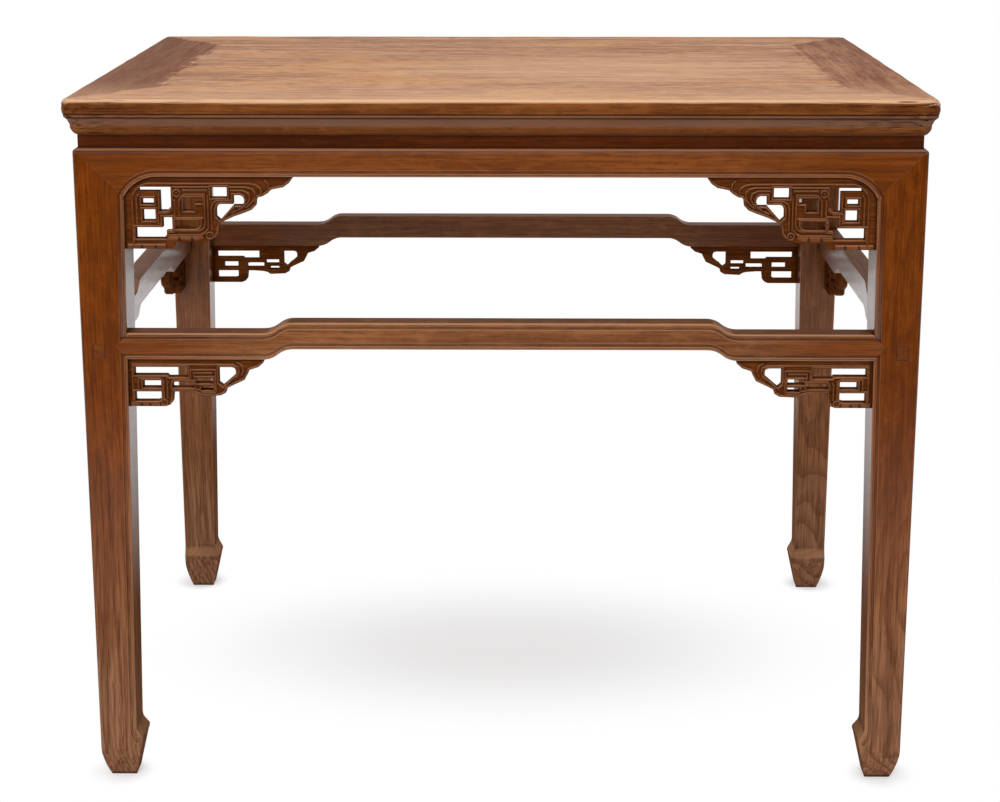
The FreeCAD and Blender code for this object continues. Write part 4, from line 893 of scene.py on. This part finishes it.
class Carving:
    """The carving on one spandrel's outer face. Its places are measured to the right and up on that face."""

    def __init__(self, name):
        self.name = name
        self.upper = "_upper_" in name
        side, end = name.split("_")[2:]
        self.normal = SIDE_NORMALS[side]
        self.right = Vector((0, 0, 1)).cross(self.normal)
        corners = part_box(name)
        reaches = sorted(corner.dot(self.right) for corner in corners)
        self.face = max(corner.dot(self.normal) for corner in corners)
        self.top = corners[1].z - SPANDREL_TONGUE
        self.length = UPPER_LENGTH if self.upper else LOWER_LENGTH
        self.direction = 1 if sum(reaches) < 0 else -1
        tip = reaches[1] if self.direction > 0 else reaches[0]
        self.leg = tip - self.direction * self.length
        self.mesh = bmesh.new()

    def flat(self, along, down):
        """A place on the face from millimetres along the rail and down from it."""
        return Vector((self.leg + self.direction * along / MILLIMETRES, self.top - down / MILLIMETRES))

    def solid(self, point, lift):
        """The vertex at a place on the face, lifted off it."""
        place = self.right * point.x + Vector((0, 0, point.y)) + self.normal * (self.face + lift)
        return self.mesh.verts.new(place)

    def section(self, point, shift, inset, width, lift):
        """The row of vertices across a bead at one point of its line."""
        return [self.solid(point + shift * (inset + share * width), lift * rise)
                for share, rise in BEAD_SECTION]

    def stretch(self, first, second):
        """The faces of a bead between two of its rows."""
        for low, high in zip(range(len(BEAD_SECTION) - 1), range(1, len(BEAD_SECTION))):
            self.mesh.faces.new((first[low], first[high], second[high], second[low]))

    def bead(self, points, closed=False, width=BEAD_WIDTH, lift=BEAD_LIFT):
        """Lays a half-round bead along a line of places on the face."""
        rows = []
        for index, point in enumerate(points):
            before = points[index - 1] if index or closed else None
            after = points[(index + 1) % len(points)] if index + 1 < len(points) or closed else None
            rows.append(self.section(point, mitre_shift(before, point, after), 0.0, width, lift))
        if closed:
            rows.append(rows[0])
        for first, second in zip(rows, rows[1:]):
            self.stretch(first, second)
        if not closed:
            for row in (rows[0], rows[-1]):
                self.mesh.faces.new(row)

    def follow_edges(self):
        """Lays a bead beside every sawn edge that shows on the face, except the bare ones, mitred at both
        ends.
        """
        for loop in self.face_loops():
            points = corners_of(loop)
            count = len(points)
            for index, point in enumerate(points):
                if self.is_bare(point, points[(index + 1) % count]):
                    continue
                rows = []
                for place in (index, index + 1):
                    corner = points[place % count]
                    shift = mitre_shift(points[(place - 1) % count], corner, points[(place + 1) % count])
                    rows.append(self.section(corner, shift, BEAD_INSET, BEAD_WIDTH, BEAD_LIFT))
                self.stretch(*rows)
                for row in rows:
                    self.mesh.faces.new(row)

    def is_bare(self, first, second):
        """Whether an edge has no bead: by the leg or the rail, in their corner, or under a band."""
        alongs = [self.direction * (point.x - self.leg) for point in (first, second)]
        downs = [self.top - point.y for point in (first, second)]
        in_corner = self.upper and min(alongs) < CORNER_REACH and max(downs) < CORNER_DROP
        under_band = min(downs) > (UPPER_BARE if self.upper else LOWER_BARE)
        return max(downs) < BARE_DROP or max(alongs) < BARE_ALONG or in_corner or under_band

    def face_loops(self):
        """The closed edges of the outer face, each with the wood on its left."""
        shape = node_shape(self.name)
        shown = {face for face in shape.faces if face.normal.dot(self.normal) > FACING
                 and abs(face.calc_center_median().dot(self.normal) - self.face) < NEAR}
        following = {}
        for face in shown:
            for corner in face.loops:
                if not any(other in shown for other in corner.edge.link_faces if other is not face):
                    following[corner.vert] = corner.link_loop_next.vert
        loops = []
        while following:
            start, vertex = following.popitem()
            ring = [start]
            while vertex is not start:
                ring.append(vertex)
                vertex = following.pop(vertex)
            loops.append([Vector((corner.co.dot(self.right), corner.co.z)) for corner in ring])
        shape.free()
        return loops

    def mark(self, along, down):
        """A dark cut like a small drop, pointed at its upper end, coloured as painted shade."""
        middle = self.flat(along, down)
        ring = [self.solid(middle + Vector((x * MARK_WIDTH, y * MARK_HEIGHT)), MARK_LIFT)
                for x, y in MARK_OUTLINE]
        self.mesh.faces.new(ring).material_index = 1

    def button(self, centre, radius, lift):
        """A small round boss."""
        peak = self.solid(centre, lift)
        rings = []
        for share, rise in BOSS_SECTION:
            rings.append([self.solid(centre + turned(radius * share, step / CURL_STEPS), lift * rise)
                          for step in range(CURL_STEPS)])
        for step in range(CURL_STEPS):
            after = (step + 1) % CURL_STEPS
            self.mesh.faces.new((peak, rings[0][step], rings[0][after]))
            for inner, outer in zip(rings, rings[1:]):
                self.mesh.faces.new((inner[step], outer[step], outer[after], inner[after]))

    def finished(self, material, dark):
        """The carving as a piece of the table."""
        bmesh.ops.recalc_face_normals(self.mesh, faces=self.mesh.faces)
        piece = piece_from(self.mesh, "carving_" + self.name, (material, dark))
        piece.data.set_sharp_from_angle(angle=CARVED_TURN)
        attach(piece, "root")


def mitre_shift(before, point, after):
    """The step to the left of a line at one of its points, long enough to keep the line's width."""
    normals = []
    for start, stop in ((before, point), (point, after)):
        if start is not None and stop is not None:
            step = (stop - start).normalized()
            normals.append(Vector((-step.y, step.x)))
    if len(normals) == 1:
        return normals[0]
    shift = (normals[0] + normals[1]) / max(1 + normals[0].dot(normals[1]), MITRE_LEAST)
    return shift if shift.length < MITRE_LIMIT else shift.normalized() * MITRE_LIMIT


def turn_at(before, point, after):
    """How far a line turns at a point."""
    return (point - before).angle(after - point)


def corners_of(loop):
    """The points of a loop without those on its straight stretches."""
    return [point for index, point in enumerate(loop)
            if turn_at(loop[index - 1], point, loop[(index + 1) % len(loop)]) > STRAIGHT_TURN]


def turned(radius, share):
    """A step of one radius from a centre, turned by a share of a full circle."""
    return Vector((math.cos(math.tau * share), math.sin(math.tau * share))) * radius


def curl(carving, along, down, radius):
    """A carved ring with a boss in its middle."""
    centre = carving.flat(along, down)
    radius = radius / MILLIMETRES
    ring = [centre + turned(radius, step / CURL_STEPS) for step in range(CURL_STEPS)]
    carving.bead(ring, closed=True)
    carving.button(centre, radius * BOSS_SHARE, BEAD_LIFT)


def carve(name, material, dark):
    """All the carving of one spandrel."""
    carving = Carving(name)
    carving.follow_edges()
    for line in UPPER_LINES if carving.upper else LOWER_LINES:
        carving.bead([carving.flat(*place) for place in line])
    for line in UPPER_BANDS if carving.upper else LOWER_BANDS:
        carving.bead([carving.flat(*place) for place in line], width=BAND_WIDTH, lift=BAND_LIFT)
    for place in UPPER_CURLS if carving.upper else LOWER_CURLS:
        curl(carving, *place)
    for place in UPPER_MARKS if carving.upper else LOWER_MARKS:
        carving.mark(*place)
    carving.finished(material, dark)


# The stage, the light and the camera

def seen_rays(build):
    """One for what the camera sees itself, and one for what it sees in a shiny or a clear surface."""
    path = build.node("ShaderNodeLightPath").outputs
    mirrored = build.math("MAXIMUM", path["Is Glossy Ray"], path["Is Transmission Ray"])
    return path["Is Camera Ray"], mirrored


def stage():
    """A white floor that keeps the table's shadow and ends in the dark in front of the camera."""
    bpy.ops.mesh.primitive_plane_add(size=FLOOR_SIZE, location=(0.0, 0.0, 0.0))
    floor = bpy.context.object
    floor.name = "floor"
    build = Shader("floor")
    seen, mirrored = seen_rays(build)
    place = build.node("ShaderNodeTexCoord").outputs["Object"]
    inputs = {"Vector": place, "Location": FLOOR_MIDDLE, "Scale": FLOOR_SQUEEZE}
    squeezed = build.node("ShaderNodeMapping", inputs).outputs[0]
    away = build.node("ShaderNodeVectorMath", {0: squeezed}, operation="LENGTH").outputs["Value"]
    lit_share = build.ramp(away, *FLOOR_LIT)
    quarter = build.node("ShaderNodeVectorMath", {0: place}, operation="ABSOLUTE").outputs[0]
    foot = (BODY_X - FOOT_INSET, BODY_Y - FOOT_INSET, 0.0)
    beside = build.node("ShaderNodeVectorMath", {0: quarter, 1: foot}, operation="DISTANCE").outputs["Value"]
    lit_share = build.math("MAXIMUM", lit_share, build.ramp(beside, *FOOT_SHADE))
    lit = build.node("ShaderNodeBsdfDiffuse", {"Color": WHITE}).outputs[0]
    glow = build.node("ShaderNodeEmission", {"Color": WHITE}).outputs[0]
    white = build.node("ShaderNodeMixShader", {0: lit_share, 1: glow, 2: lit}).outputs[0]
    depth = axis(build, place, 1)
    grey = build.ramp(depth, *FLOOR_GREYS)
    shade = build.node("ShaderNodeCombineXYZ", {"X": grey, "Y": grey, "Z": grey}).outputs[0]
    plain = build.node("ShaderNodeBsdfDiffuse", {"Color": shade}).outputs[0]
    mirrored_white = build.times(mirrored, build.ramp(depth, *MIRROR_DEPTHS))
    white_share = build.math("MAXIMUM", seen, mirrored_white)
    choice = build.node("ShaderNodeMixShader", {0: white_share, 1: plain, 2: white})
    build.node("ShaderNodeOutputMaterial", {0: choice.outputs[0]})
    floor.data.materials.append(build.owner)


def sky():
    """A studio that is dark behind the camera; its backdrop is plain white where it is seen or mirrored."""
    build = Shader("studio", "worlds")
    direction = build.node("ShaderNodeTexCoord").outputs["Generated"]
    depth = axis(build, direction, 1)
    above = build.ramp(axis(build, direction, 2), *SKY_ABOVE)
    level = build.math("ADD", build.ramp(depth, *SKY_AROUND), above)
    mirror_level = build.math("ADD", build.ramp(depth, *SKY_MIRRORED), above, clamp=True)
    seen, mirrored = seen_rays(build)
    inputs = {0: mirrored, 2: level, 3: mirror_level}
    level = build.node("ShaderNodeMix", inputs, data_type="FLOAT").outputs[0]
    strength = build.node("ShaderNodeMix", {0: seen, 2: level, 3: 1.0}, data_type="FLOAT").outputs[0]
    background = build.node("ShaderNodeBackground", {"Color": WHITE, "Strength": strength})
    build.node("ShaderNodeOutputWorld", {0: background.outputs[0]})
    bpy.context.scene.world = build.owner


def lamp(name, place, aim, size, power):
    """A soft square lamp that looks at a point."""
    data = bpy.data.lights.new(name, "AREA")
    data.shape = "RECTANGLE"
    data.size, data.size_y = size
    data.energy = power
    lamp_object = linked(name, data)
    lamp_object.location = place
    lamp_object.rotation_euler = (Vector(aim) - Vector(place)).to_track_quat("-Z", "Y").to_euler()
    return lamp_object


def camera():
    """A camera at the photograph's place and angle."""
    data = bpy.data.cameras.new("camera")
    data.sensor_fit = "HORIZONTAL"
    data.lens = CAMERA_LENS
    data.shift_y = CAMERA_SHIFT
    camera_object = linked("camera", data)
    camera_object.location = CAMERA_PLACE
    camera_object.rotation_euler = (math.pi / 2 - CAMERA_PITCH, 0.0, CAMERA_YAW)
    bpy.context.scene.camera = camera_object


bpy.context.scene.view_settings.view_transform = "Standard"
camera()
stage()
sky()
lamp("lamp_above", *LAMP_ABOVE)
lamp("lamp_front", *LAMP_FRONT).visible_glossy = False
WOODS = dress_frame()
# Wood of painted shade, for the dark cuts on the spandrels
SHADE_WOOD = wood("dark_wood", (GRIME_AND_SHADE, GRIME_AND_SHADE, GRIME_AND_SHADE), "X", (0.0, 0.0, 0.0))
BEAD_WOODS = {side: wood(f"bead_wood_{side}", BEAD_TONES, grain, BEAD_SEED, figure=0.25, up_wear_and_highlight=0.5, wax=0.3,
                         gloss=0.15, hollows=0.006)
              for side, grain in SIDE_GRAIN.items()}
for node_name in list(NODES):
    kind = node_name.split("_")[0]
    if kind in EDGE_WEAR_AND_HIGHLIGHT:
        soften(node_name, WOODS, EDGE_WEAR_AND_HIGHLIGHT[kind])
    if kind == "spandrel":
        carve(node_name, BEAD_WOODS[node_name.split("_")[2]], SHADE_WOOD)
    if kind == "top":
        wear_top(node_name, node_name.split("_")[1] + "_wood", WOODS)
